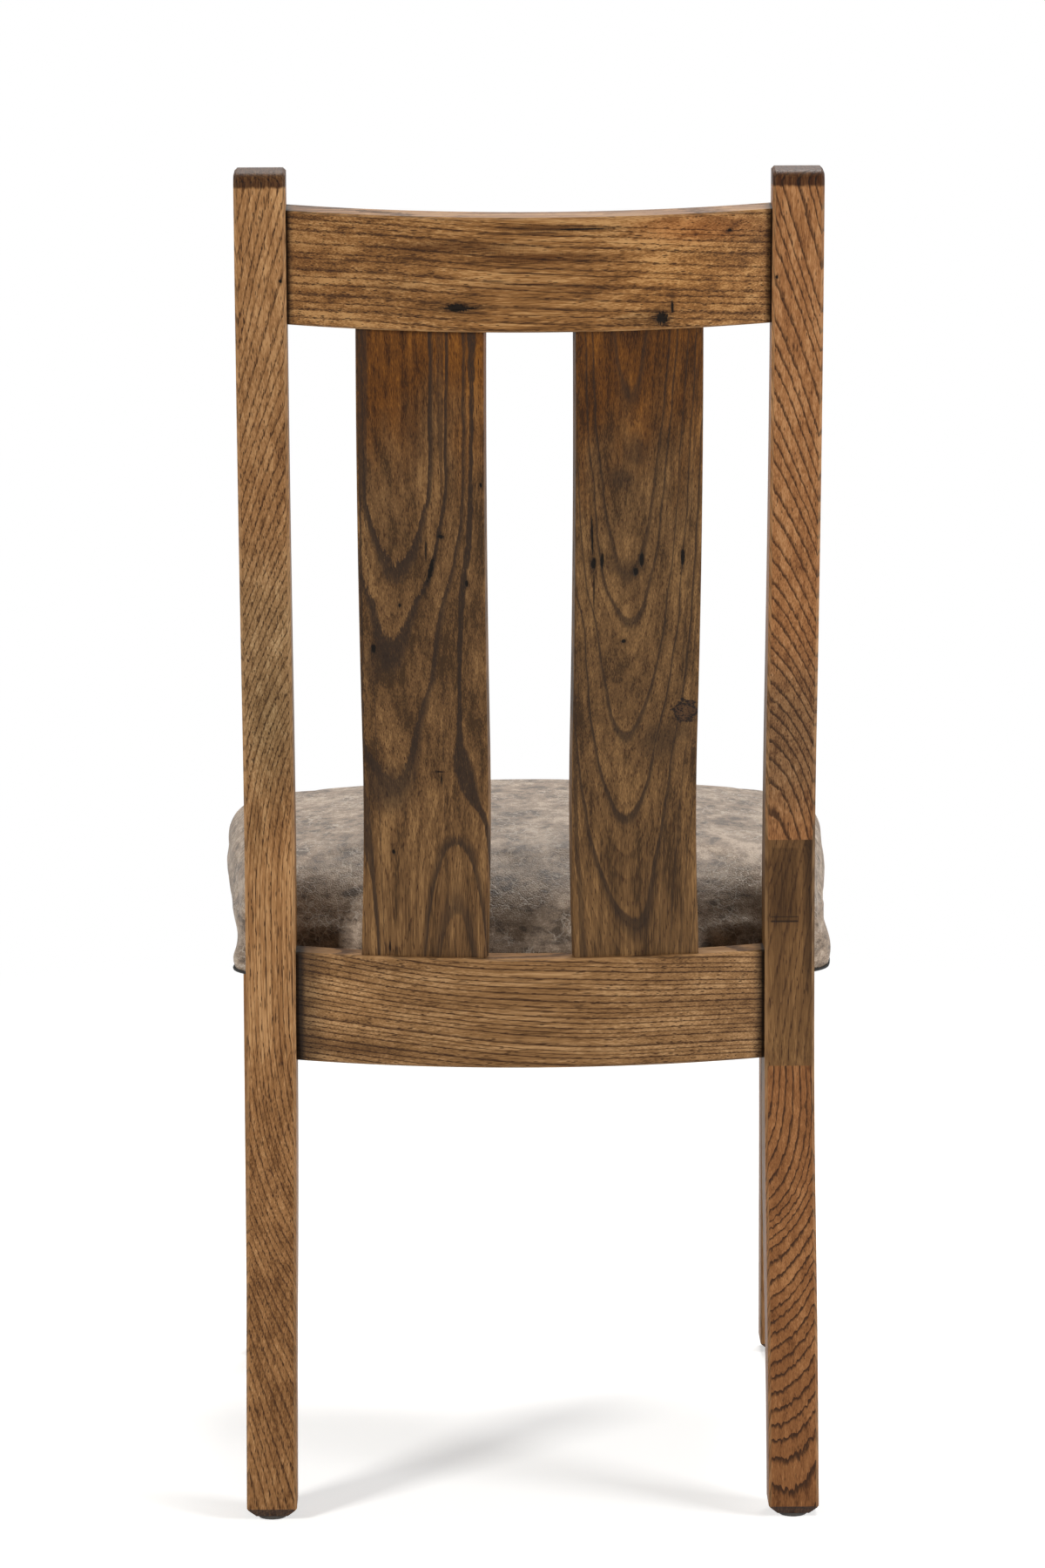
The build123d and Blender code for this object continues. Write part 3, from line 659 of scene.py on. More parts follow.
# %% Post materials
board(
    "post_oak",
    ["rear_post_left"],
    UPRIGHT,
    {"Pith": (118.0, 75.0, 0.0), "Ring_Width": 2.5, "Sway": 7.0, "Ragged": 0.8},
    ((90, 58, 30), (138, 98, 60), (174, 133, 90)),
    marks=LEFT_POST_MARKS,
    gradient=[(0.0, -0.2), (0.3, -0.15), (0.36, 0.08), (0.46, 0.14), (0.53, -0.06),
              (0.64, -0.08), (0.78, -0.04), (0.88, 0.0), (1.03, 0.04)],
    patches=[
        ((305, 770), (40.0, 60.0, 45.0), 1.0, (248, 266, 284)),
        ((305, 460), (40.0, 60.0, 40.0), 0.8, (232, 230, 228)),
        ((310, 850), (7.0, 20.0, 34.0), 0.35, (176, 182, 170)),
        ((292, 960), (4.0, 20.0, 12.0), 0.35, (160, 160, 150)),
    ],
    ends=True,
    Ring_Contrast=0.2, Pore_Amount=1.5, Fibre_Contrast=1.7, Line_Depth=0.35,
)
board(
    "leg_oak",
    ["front_leg_left", "front_leg_right"],
    UPRIGHT,
    {"Pith": (60.0, -190.0, 0.0), "Ring_Width": 4.4, "Sway": 9.0, "Ragged": 1.5, "Lean_X": 0.02},
    ((88, 56, 30), (134, 94, 58), (170, 128, 86)),
    ends=True,
)
board(
    "post_red_upper",
    ["rear_post_right_upper_layer"],
    UPRIGHT,
    {"Pith": (-243.0, 140.0, 0.0), "Ring_Width": 3.6, "Sway": 7.0, "Ragged": 1.1, "Lean_X": 0.114},
    ((86, 51, 27), (136, 91, 54), (168, 123, 82)),
    marks=RIGHT_POST_MARKS,
    gradient=[(0.5, -0.14), (0.56, -0.22), (0.66, -0.14), (0.72, -0.02), (0.8, 0.0),
              (0.94, 0.02), (1.03, 0.0)],
    ends=True,
    Ring_Contrast=0.18, Pore_Amount=0.9, Fibre_Contrast=1.8, Line_Depth=0.8,
    patches=[((893, 850), (40.0, 60.0, 30.0), 0.9, (230, 252, 276))],
)
board(
    "post_red_lower",
    ["rear_post_right_lower_layer"],
    UPRIGHT,
    {"Pith": (-190.0, 70.0, 0.0), "Ring_Width": 2.4, "Sway": 9.0, "Ragged": 1.3, "Lean_X": 0.17},
    ((82, 49, 25), (124, 81, 47), (156, 110, 70)),
    gradient=[(0.0, -0.16), (0.1, -0.1), (0.25, -0.02), (0.34, -0.08)],
    ends=True,
    Ring_Contrast=0.16, Pore_Amount=0.6, Fibre_Contrast=1.5, Line_Depth=1.0,
)

SLOT_X, SLOT_Z, SLOT_SOFT = (-0.2035, -0.184), (0.4465, 0.5035), 0.0007
SEAM_X, SEAM_SOFT = (-0.2045, -0.1835), 0.0006
SEAMS = ((0.4465, 0.0007, 0.92), (0.4500, 0.0005, 0.7))


def filled_slot(axes, colour):
    """Darkens the plugged slot in the front layer and the grey strip along its outer edge."""
    slot = times(between(axes[0], *SLOT_X, SLOT_SOFT), between(axes[2], *SLOT_Z, SLOT_SOFT))
    colour = blend(times(slot, 0.45), colour, paint(170, 164, 156), "MULTIPLY")
    across = between(axes[0], *SEAM_X, SEAM_SOFT)
    for height, half, depth in SEAMS:
        seam = times(between(axes[2], height - half, height + half, SEAM_SOFT / 2), across)
        colour = blend(times(seam, depth), colour, paint(30, 20, 12))
    strip = times(fade(axes[0], -0.206, -0.2115), fade(axes[2], 0.37, 0.42))
    return blend(times(strip, 0.75), colour, paint(140, 136, 140), "MULTIPLY")


board(
    "post_red_front",
    ["rear_post_right_front_layer"],
    UPRIGHT,
    {"Pith": (-120.0, 330.0, 0.0), "Ring_Width": 3.4, "Sway": 6.0, "Ragged": 1.4, "Lean_Y": -0.12},
    ((64, 43, 24), (96, 68, 40), (126, 93, 58)),
    gradient=[(0.3, 0.05), (0.4, 0.04), (0.44, 0.0), (0.448, -0.1), (0.52, -0.12)],
    touch=filled_slot,
    Ring_Contrast=0.12, Pore_Amount=0.8, Fibre_Contrast=1.4, Line_Depth=0.3,
)

# %% [markdown]
# ## Rails
#
# Both rails of the back are sawn to one bow from level boards, so their grain runs along the chair
# and falls a little to one side. Where they meet the posts a thin black line shows the shoulder,
# and a painted shadow of the post darkens each end, most at the +X end of the lower rail.

# %% Rail materials
SEAT_RAIL_TONES = ((96, 64, 38), (136, 98, 62), (168, 128, 88))
board(
    "rail_oak_crest",
    ["crest_rail"],
    LEVEL,
    {"Pith": (760.0, 240.0, 0.0), "Ring_Width": 6.0, "Sway": 22.0, "Ragged": 1.6, "Lean_X": -0.05},
    ((76, 48, 22), (128, 88, 48), (172, 131, 84)),
    marks=CREST_MARKS,
    # Painted shadow of the posts at both ends of the crest rail.
    reaches=(0.007, 0.007),
    patches=[
        ((520, 284), (26.0, 20.0, 2.2), 0.85, (132, 112, 90)),
        ((620, 296), (24.0, 20.0, 2.0), 0.8, (140, 118, 92)),
        ((640, 262), (18.0, 20.0, 1.4), 0.7, (130, 110, 88)),
        ((600, 330), (36.0, 20.0, 1.6), 0.45, (160, 140, 118)),
        ((800, 262), (22.0, 20.0, 5.0), 0.5, (226, 176, 118)),
        ((800, 320), (30.0, 20.0, 16.0), 0.8, (260, 254, 240)),
        ((370, 310), (26.0, 20.0, 20.0), 0.8, (242, 238, 232)),
        ((450, 330), (10.0, 20.0, 4.0), 0.3, (170, 160, 150)),
        ((350, 300), (6.0, 20.0, 12.0), 0.3, (190, 168, 140)),
        ((735, 366), (9.0, 20.0, 2.5), 0.5, (140, 138, 142)),
    ],
    Cloud_Contrast=1.9, Ring_Contrast=0.2, Fibre_Contrast=2.0, Pore_Amount=1.2, Streaks=1.0,
    Streak_Length=60.0, Line_Depth=0.4,
)
board(
    "rail_oak_lower",
    ["lower_back_rail"],
    LEVEL,
    {"Pith": (230.0, 150.0, 0.0), "Ring_Width": 4.2, "Sway": 20.0, "Ragged": 0.7, "Lean_X": -0.07},
    ((80, 54, 28), (126, 92, 57), (164, 128, 88)),
    # Painted shadow of the posts at the ends, reaching furthest at the +X end.
    reaches=(0.03, 0.011),
    patches=[
        ((400, 1205), (20.0, 20.0, 2.2), 0.6, (150, 130, 110)),
        ((430, 1110), (18.0, 20.0, 1.6), 0.45, (160, 145, 125)),
        ((380, 1150), (26.0, 20.0, 12.0), 1.0, (284, 286, 288)),
    ],
    Ring_Contrast=0.16, Pore_Amount=1.3, Fibre_Contrast=1.6, Cloud_Contrast=1.2, Streaks=0.8,
    Streak_Length=30.0, Line_Depth=0.8,
)
board(
    "rail_oak_seat",
    ["front_seat_rail"],
    LEVEL,
    {"Pith": (-300.0, -180.0, 0.0), "Ring_Width": 4.6, "Sway": 12.0},
    SEAT_RAIL_TONES,
)
board(
    "rail_oak_side",
    ["side_seat_rail_left", "side_seat_rail_right"],
    DEEP,
    {"Pith": (150.0, 290.0, 0.0), "Ring_Width": 4.6, "Sway": 12.0},
    SEAT_RAIL_TONES,
)

# %% [markdown]
# ## Slats
#
# The slats are plain-sawn, which gives the nested arches of a cathedral. Near the pith a board's
# face shows a ring wherever the square of the distance from the middle line plus a climb along the
# board has one value. So each slat has a line that the arches follow and a curve for the climb,
# both read off the picture, and dark bands at chosen values of the sum.

# %% Slat materials
RING_AREA = 190.0
SLAT_OAK = {
    "Ring_Contrast": 0.1,
    "Fibre_Contrast": 1.7,
    "Cloud_Contrast": 1.5,
    "Pore_Amount": 0.5,
    "Streaks": 0.6,
    "Line_Depth": 0.0,
}


def arch_field(space, middle_line, climb, teeth_length):
    """Square of the distance from a middle line plus a climb, in square millimetres."""
    axes = parts(space)
    teeth = swing(cloud(space, (1.7, 1.7, 30.0), detail=2.0, roughness=0.6), 2.0 * teeth_length)
    sway = swing(cloud(space, (26.0, 26.0, 46.0), detail=1.0), 5.0)
    aside = plus(minus(axes[0], curve(axes[2], middle_line)), sway)
    return times_plus(aside, aside, curve(plus(axes[2], teeth), climb))


def drawn_line(space, course, half_width):
    """A dark line that follows a course, given as (height, place across) with a half width."""
    axes = parts(space)
    shake = swing(cloud(space, (3.0, 3.0, 12.0), detail=2.0), 3.0)
    off = calc("ABSOLUTE", minus(axes[0], plus(curve(axes[2], course), shake)))
    return fade(over(off, curve(axes[2], half_width)), 1.25, 0.7, 0.0, 1.0)


def edges_of(bands, soft):
    """A band curve from (from, to, depth) stretches of the field, sharp inside and soft outside."""
    points = []
    for low, high, depth in bands:
        points += [(low - soft, 0.0), (low, depth), (high, depth * 0.75), (high + 4 * soft, 0.0)]
    return points


def knot(space, colour, centre, half_width):
    """A dead knot: a dark broken rim round a brown heart with cracks."""
    away = vector_calc("DIVIDE", vector_calc("SUBTRACT", space, centre), (half_width,) * 3)
    wild = swing(cloud(space, (5.0, 5.0, 4.0), detail=3.0, roughness=0.6), 1.4)
    away = plus(vector_calc("LENGTH", away, out=1), wild)
    cracks = cloud(space, (1.6, 1.6, 1.0), detail=2.0)
    colour = blend(fade(away, 1.1, 0.85, 0.0, 0.8), colour, paint(62, 42, 28))
    rim = times(between(away, 0.72, 1.0, 0.1), fade(cracks, 0.35, 0.5, 0.35, 1.0))
    split = times(fade(away, 0.8, 0.6, 0.0, 1.0), fade(cracks, 0.54, 0.6))
    return blend(larger(rim, split), colour, paint(22, 15, 11))


def slat(name, piece, fields, lines, tones, marks, gradient, dark_band, clouds, knots=()):
    """A slat: dark bands of its arch fields and drawn lines over timber like the other boards'.

    Clouds are (pixel, size, depth) and knots are (pixel, half width).
    """
    material, tree, inputs = new_material(name)
    space = millimetres(tree)
    arches, bands = [], []
    for middle_line, climb, stretches, soft, teeth_length in fields:
        arches.append(arch_field(space, middle_line, climb, teeth_length))
        bands.append(curve(arches[-1], edges_of(stretches, soft)))
    for course, half_width, depth in lines:
        bands.append(times(drawn_line(space, course, half_width), depth))
    uneven = cloud(space, (0.9, 0.9, 18.0), detail=3.0, roughness=0.6)
    band = times(reduce(larger, bands), fade(uneven, 0.25, 0.5, 0.55, 1.0))
    for pixel, size, depth in clouds:
        smoke = mark(space, surface_point(piece, pixel), size, 0.5)["Halo"]
        band = larger(band, times(smoke, depth))
    height, rings = parts(metres(tree))[2], over(arches[0], RING_AREA)
    wood = timber(tree, space, rings, tones, Tone=curve(height, gradient), **SLAT_OAK)
    warm = fade(times_plus(cloud(space, (22.0, 22.0, 80.0)), 0.16, height), 0.84, 0.97)
    colour = blend(times(warm, 0.85), wood["Colour"], paint(232, 186, 72), "MULTIPLY")
    colour = blend(times(band, 0.95), colour, paint(*dark_band))
    for pixel, half_width in knots:
        colour = knot(space, colour, surface_point(piece, pixel), half_width)
    finish_wood(tree, inputs, wood, colour, space, piece, marks, worn_and_lit=(140, 106, 72))
    dress(material, piece)


LEFT_ARCHES = (
    [(400, 104), (558, 103), (603, 107), (640, 105), (700, 102), (760, 99), (930, 98.5)],
    [(400, 3200), (505, 2500), (545, 1960), (569, 1700), (590, 1458), (622, 1120), (648, 830),
     (676, 661), (703, 430), (715, 180), (729, 10), (745, -141), (768, -372), (787, -536),
     (826, -587), (940, -590)],
    [(10, 145, 0.95), (700, 840, 0.95), (1785, 1970, 0.9)],
    30.0,
    10.0,
)
LEFT_INNER = (
    [(400, 56), (530, 56), (930, 57)],
    [(400, -640), (426, -546), (450, -470), (468, -350), (496, -164), (513, 0), (538, 1100),
     (606, 5000), (930, 9000)],
    [(-405, -345, 0.65), (-30, 30, 0.85)],
    30.0,
    5.0,
)
LEFT_LINES = (
    (
        [(400, 26), (520, 32), (543, 41), (562, 48), (600, 53), (700, 51), (760, 45), (930, 43)],
        [(400, 1.5), (510, 1.5), (545, 4.5), (570, 7.0), (590, 3.0), (640, 1.6), (700, 2.4),
         (840, 1.6), (900, 3.0), (930, 3.4)],
        0.95,
    ),
    (
        [(400, 113), (470, 118), (505, 122), (530, 125), (930, 126)],
        [(400, 1.2), (480, 1.4), (520, 4.5), (545, 3.0), (560, 1.0), (840, 1.2), (930, 3.6)],
        0.85,
    ),
    (
        [(400, 121), (450, 131), (930, 150)],
        [(400, 1.6), (930, 1.2)],
        0.7,
    ),
    (
        [(400, 110), (760, 122), (800, 124), (930, 124)],
        [(400, 0.2), (760, 0.3), (800, 3.0), (930, 5.0)],
        0.8,
    ),
    (
        [(400, 60), (700, 66), (930, 66)],
        [(400, 0.2), (780, 0.3), (830, 2.2), (930, 3.0)],
        0.6,
    ),
)
slat(
    "slat_oak_left",
    "back_slat_left",
    (LEFT_ARCHES, LEFT_INNER),
    LEFT_LINES,
    ((56, 38, 20), (98, 70, 42), (134, 101, 64)),
    LEFT_SLAT_MARKS,
    [(0.4, -0.1), (0.47, -0.06), (0.52, 0.02), (0.56, -0.02), (0.64, -0.2), (0.7, -0.18),
     (0.78, -0.04), (0.93, 0.04)],
    (38, 27, 20),
    clouds=[
        ((445, 905), (9.0, 6.0, 9.0), 0.75),
        ((430, 760), (5.0, 6.0, 9.0), 0.5),
        ((470, 510), (5.0, 6.0, 14.0), 0.3),
    ],
)

RIGHT_ARCHES = (
    [(400, -84), (447, -80), (529, -72), (594, -72), (680, -75), (717, -73), (930, -75)],
    [(400, 3100), (447, 2640), (529, 1830), (594, 1240), (685, 560), (721, 230), (760, 0),
     (856, -420), (930, -640)],
    [(-430, -405, 0.7), (215, 262, 0.7), (545, 590, 0.8), (1215, 1262, 0.85), (1800, 1860, 0.9),
     (2600, 2690, 0.85)],
    28.0,
    3.0,
)
RIGHT_LINES = (
    ([(400, -104), (520, -112), (640, -122), (930, -140)], [(400, 0.9), (930, 0.6)], 0.4),
    ([(400, -112), (520, -121), (640, -132), (930, -150)], [(400, 0.8), (930, 0.6)], 0.35),
    (
        [(400, -96), (520, -103), (640, -114), (800, -121), (930, -126)],
        [(400, 0.8), (930, 0.9)],
        0.35,
    ),
    ([(400, -119), (470, -127), (930, -190)], [(400, 0.9), (930, 0.6)], 0.4),
    (
        [(400, -42), (470, -38), (560, -34), (930, -33)],
        [(400, 5.0), (450, 2.2), (520, 1.6), (930, 0.7)],
        0.6,
    ),
)
slat(
    "slat_oak_right",
    "back_slat_right",
    (RIGHT_ARCHES,),
    RIGHT_LINES,
    ((52, 35, 18), (92, 66, 39), (126, 94, 58)),
    RIGHT_SLAT_MARKS,
    [(0.4, -0.09), (0.5, -0.1), (0.6, -0.14), (0.72, 0.0), (0.8, -0.1), (0.93, -0.06)],
    (36, 25, 17),
    clouds=[
        ((731, 518), (4.5, 6.0, 6.0), 0.6),
        ((711, 549), (5.5, 6.0, 4.0), 0.55),
        ((758, 850), (7.0, 6.0, 7.0), 0.6),
        ((780, 838), (5.0, 6.0, 5.0), 0.5),
        ((716, 650), (7.0, 6.0, 3.0), 0.5),
    ],
    knots=[((786, 816), 9.5)],
)

# %% [markdown]
# ## Seat pad
#
# The seat is a board with shaped foam, under one piece of distressed leather that is pulled down
# and stapled underneath. It has a crowned top, rounded shoulders, sides that draw in to a waist and
# a small roll below it. A shell with that form is made first, a little too small, and a cloth
# simulation then blows it up like a cushion while its underside and waist are held.

# %% Plan of the pad
SEAT_FRONT_Y, SEAT_CORNER_Y, SEAT_MIDDLE_Y = -284.9, 110.1, 161.6
SEAT_FRONT_X, SEAT_REAR_X, SEAT_HOLLOW_X = 249.5, 230.5, 176.0
CORNER_RADIUS = 36.0
PAD_BOTTOM, PAD_TOP, CROWN_RADIUS = 392.6, 496.5, 1850.0
SIDE_SHOULDER, REAR_SHOULDER = (33.0, 30.0), (84.0, 65.0)
WAIST_Z, ROLL_Z, ROLL_IN, TOP_SWELL_Z = 421.0, 402.0, 7.0, 460.0
PLAN_COUNT = 360
TOP_RINGS, SHOULDER_RINGS, SIDE_RINGS, ROLL_RINGS, UNDER_RINGS = 26, 15, 20, 9, 16
level = partial(np.full, PLAN_COUNT)


def corner_arc(before, corner, after, radius, steps=14):
    """Points of the arc that rounds a corner between two straight edges."""
    ways = [(np.array(p) - corner) / np.linalg.norm(np.array(p) - corner) for p in (before, after)]
    half = np.arccos(np.dot(*ways)) / 2
    starts = [corner + way * radius / np.tan(half) for way in ways]
    middle = ways[0] + ways[1]
    centre = corner + middle / np.linalg.norm(middle) * radius / np.sin(half)
    angles = np.unwrap([np.arctan2(*(start - centre)[::-1]) for start in starts])
    turn = np.linspace(*angles, steps)
    return centre + radius * np.stack((np.cos(turn), np.sin(turn)), axis=-1)


def seat_plan(count, soften=7.0):
    """Plan of the pad in millimetres as count points with their outward directions.

    Straight sides with round corners and a rear edge bowed like the rail. The closed line is
    stepped evenly along its length, then smoothed by damping its short waves.
    """
    chord, rise = SEAT_HOLLOW_X, SEAT_MIDDLE_Y - SEAT_CORNER_Y
    bow = (chord**2 + rise**2) / (2 * rise)
    reach = np.arcsin(chord / bow)
    turn = np.linspace(reach, -reach, 60)
    rear = np.stack((bow * np.sin(turn), SEAT_MIDDLE_Y - bow + bow * np.cos(turn)), axis=-1)
    corners = np.array(
        [
            (-SEAT_REAR_X, SEAT_CORNER_Y),
            (-SEAT_FRONT_X, SEAT_FRONT_Y),
            (SEAT_FRONT_X, SEAT_FRONT_Y),
            (SEAT_REAR_X, SEAT_CORNER_Y),
        ]
    )
    stops = np.vstack((rear[-1], corners, rear[0]))
    arcs = [corner_arc(*stops[i : i + 3], CORNER_RADIUS) for i in range(4)]
    line = np.vstack((rear, *arcs, rear[:1]))
    steps = np.linalg.norm(np.diff(line, axis=0), axis=1)
    length = np.concatenate(([0.0], np.cumsum(steps)))
    even = np.linspace(0.0, length[-1], count, endpoint=False)
    flat = np.interp(even, length, line[:, 0]) + 1j * np.interp(even, length, line[:, 1])
    waves = np.fft.fftfreq(count, length[-1] / count)
    flat = np.fft.ifft(np.fft.fft(flat) * np.exp(-2 * (np.pi * soften * waves) ** 2))
    along = np.roll(flat, -1) - np.roll(flat, 1)
    out = -1j * along / np.abs(along)
    return np.stack((flat.real, flat.imag), -1), np.stack((out.real, out.imag), -1), length[-1]


plan, plan_out, plan_length = seat_plan(PLAN_COUNT)
SEAT_CENTRE = np.array((0.0, (SEAT_FRONT_Y + SEAT_CORNER_Y + 3.0) / 2))
print("plan length mm:", round(float(plan_length), 1))

# %% Shell of the pad
def crown(spots, top):
    """Height of the crowned top: it falls with the square of the distance from the middle."""
    away = ((spots - SEAT_CENTRE) ** 2).sum(axis=-1)
    return top - away / (2 * CROWN_RADIUS)


def ease(value):
    """0 below 0, 1 above 1 and smooth between."""
    value = np.clip(value, 0.0, 1.0)
    return value * value * (3 - 2 * value)


def hump(value, middle, width):
    """1 at the middle, falling off smoothly on both sides."""
    return np.exp(-(((value - middle) / width) ** 2))


FULL_REAR, FULL_FRONT, WAIST_IN, TUCK_IN, ROLL_OUT, FOLD_OUT = 0.4, 6.4, 3.8, 3.6, 2.8, 6.2
FRONT_Y, FRONT_RUN, REAR_Y, REAR_RUN = 60.0, 160.0, 30.0, 50.0
FOLD_Y, FOLD_RUN, FOLD_Z, FOLD_RISE = 52.0, 62.0, 408.0, 12.0


def side_swell(height):
    """How far the pad's sides stand out from its plan at a height, in mm, all round the plan.

    The sides are fuller above the waist, most at the front, and draw in below. At the rear corner
    they roll out again, and near the right post the hide is folded thick and rolls far out.
    """
    aside = plan_out[:, 0] ** 2
    front = ease((FRONT_Y - plan[:, 1]) / FRONT_RUN)
    rear = ease((plan[:, 1] - REAR_Y) / REAR_RUN)
    fold = hump(plan[:, 1], FOLD_Y, FOLD_RUN) * (plan[:, 0] < 0)
    full = (FULL_REAR + FULL_FRONT * front) * ease((height - 424.0) / 16.0) * (1 - 0.5 * fold)
    waist = WAIST_IN * hump(height, WAIST_Z, 11.0) * rear
    tuck = TUCK_IN * ease((428.0 - height) / 14.0) * (1 - rear)
    roll = ROLL_OUT * ease((414.0 - height) / 10.0) * rear
    thick = FOLD_OUT * fold * hump(np.maximum(height, FOLD_Z), FOLD_Z, FOLD_RISE)
    return aside * (full + (roll - waist - tuck) * (1 - fold) + thick)


def pad_shell(shrink):
    """Rings of the pad from the middle of its top to the middle of its underside, in mm.

    The top is the edge drawn towards the middle, on the crown. The shoulder is a quarter of an
    ellipse that is wider and deeper at the rear. The side draws in at the waist and rolls out
    again above the underside.
    """
    rings = []
    top_swell = side_swell(level(TOP_SWELL_Z))[:, None]
    edge = plan + plan_out * (top_swell - shrink - 1.0)
    spokes = edge - SEAT_CENTRE
    lengths = np.linalg.norm(spokes, axis=1)
    rear = ease((spokes[:, 1] / lengths - 0.45) / 0.5)
    width = SIDE_SHOULDER[0] + (REAR_SHOULDER[0] - SIDE_SHOULDER[0]) * rear
    drop = SIDE_SHOULDER[1] + (REAR_SHOULDER[1] - SIDE_SHOULDER[1]) * rear
    inner = SEAT_CENTRE + spokes * (1 - width / lengths)[:, None]
    for share in np.linspace(0.06, 1.0, TOP_RINGS):
        spots = SEAT_CENTRE + (inner - SEAT_CENTRE) * share
        rings.append(np.column_stack((spots, crown(spots, PAD_TOP - shrink))))
    edge_z = rings[-1][:, 2]
    for angle in np.linspace(0.0, np.pi / 2, SHOULDER_RINGS)[1:]:
        back = width * (1 - np.sin(angle))
        spots = SEAT_CENTRE + spokes * (1 - back / lengths)[:, None]
        rings.append(np.column_stack((spots, edge_z - drop * (1 - np.cos(angle)))))
    side_z = rings[-1][:, 2]
    for share in np.linspace(0.0, 1.0, SIDE_RINGS)[1:]:
        height = side_z + (ROLL_Z - side_z) * share
        out = side_swell(height) - shrink - (1 - share)
        rings.append(np.column_stack((plan + plan_out * out[:, None], height)))
    low_swell = side_swell(level(ROLL_Z)) - shrink
    for angle in np.linspace(0.0, np.pi / 2, ROLL_RINGS)[1:]:
        out = low_swell - ROLL_IN * (1 - np.cos(angle))
        height = ROLL_Z - (ROLL_Z - PAD_BOTTOM) * np.sin(angle)
        rings.append(np.column_stack((plan + plan_out * out[:, None], level(height))))
    under = rings[-1][:, :2]
    for share in np.linspace(1.0, 0.08, UNDER_RINGS)[1:]:
        spots = SEAT_CENTRE + (under - SEAT_CENTRE) * share
        rings.append(np.column_stack((spots, level(PAD_BOTTOM))))
    return np.array(rings)


def co_of(mesh):
    """All vertex places of a mesh as one array."""
    places = np.empty(len(mesh.vertices) * 3, dtype=np.float32)
    mesh.vertices.foreach_get("co", places)
    return places.reshape(-1, 3).astype(float)


def baked(piece):
    """A new mesh of a piece with its modifiers applied."""
    graph = bpy.context.evaluated_depsgraph_get()
    return bpy.data.meshes.new_from_object(piece.evaluated_get(graph))


PAD_SHRINK, VOXEL = 3.0, 0.0058
points, faces = shell(pad_shell(PAD_SHRINK) * MM)
pad = new_piece("seat_pad", points, [f[::-1] for f in faces])
remesh = pad.modifiers.new("even_faces", "REMESH")
remesh.mode, remesh.voxel_size = "VOXEL", VOXEL
pad.data = baked(pad)
pad.modifiers.clear()
print("pad faces after the remesh:", len(pad.data.polygons))

# %% Inflate the pad
HELD_BELOW, INFLATE_STEPS, PRESSURE, CAP = 397.0, 20, 4.0, 0.0045


def inflate(piece, steps, pressure, cap):
    """Runs cloth with inner pressure and no weight, then limits how far a point has moved."""
    start = co_of(piece.data)
    height = start[:, 2] / MM
    hold = np.maximum(0.9 * hump(height, WAIST_Z, 6.0), height < HELD_BELOW)
    group = piece.vertex_groups.new(name="held")
    for index in np.flatnonzero(hold > 0.05):
        group.add([int(index)], float(hold[index]), "REPLACE")
    cloth = piece.modifiers.new("inflated", "CLOTH")
    cloth.settings.quality = 6
    cloth.settings.mass = 0.3
    cloth.settings.tension_stiffness = cloth.settings.compression_stiffness = 20.0
    cloth.settings.bending_stiffness = 1.5
    cloth.settings.use_pressure = True
    cloth.settings.uniform_pressure_force = pressure
    cloth.settings.effector_weights.gravity = 0.0
    cloth.settings.vertex_group_mass = "held"
    cloth.point_cache.frame_start, cloth.point_cache.frame_end = 1, steps
    scene = bpy.context.scene
    for step in range(1, steps + 1):
        scene.frame_set(step)
    end = co_of(baked(piece))
    moved = end - start
    far = np.linalg.norm(moved, axis=1, keepdims=True)
    end = start + moved * np.minimum(1.0, cap / np.maximum(far, 1e-9))
    piece.modifiers.clear()
    piece.vertex_groups.clear()
    scene.frame_set(1)
    piece.data.vertices.foreach_set("co", end.astype(np.float32).ravel())
    piece.data.update()
    return float(far.max())


print("pad moved up to m:", round(inflate(pad, INFLATE_STEPS, PRESSURE, CAP), 4))
finer = pad.modifiers.new("finer", "SUBSURF")
finer.levels = finer.render_levels = 1
pad.data = baked(pad)
pad.modifiers.clear()
smooth(pad.data)
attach(pad, "root")
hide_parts("seat_cover", "seat_foam")
size = co_of(pad.data)
print("pad faces:", len(pad.data.polygons), "box:", size.min(0).round(4), size.max(0).round(4))

# %% Turned edge of the dust cover
EDGE_Z, EDGE_RADIUS, EDGE_COUNT = 395.2, 1.2, 8
sink = ROLL_IN * (1 - cos(np.arcsin((ROLL_Z - EDGE_Z) / (ROLL_Z - PAD_BOTTOM))))
middle = plan + plan_out * (side_swell(level(ROLL_Z)) - PAD_SHRINK - sink)[:, None]
tube = []
for turn in np.linspace(0.0, 2 * np.pi, EDGE_COUNT, endpoint=False):
    spots = middle + plan_out * EDGE_RADIUS * cos(turn)
    tube.append(np.column_stack((spots, level(EDGE_Z + EDGE_RADIUS * sin(turn)))))
faces = grid_faces(EDGE_COUNT + 1, PLAN_COUNT) % (EDGE_COUNT * PLAN_COUNT)
turned_edge = new_piece("dust_cover_edge", np.vstack(tube) * MM, faces)
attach(turned_edge, "root")
print("edge length mm:", round(float(plan_length), 1), "faces:", len(turned_edge.data.polygons))

# %% [markdown]
# ## Leather
#
# The hide is a pale taupe, rubbed and mottled, with a fine pebble grain and light crackle lines
# where it was folded. The mottling is stretched across the chair, so its noise is too.

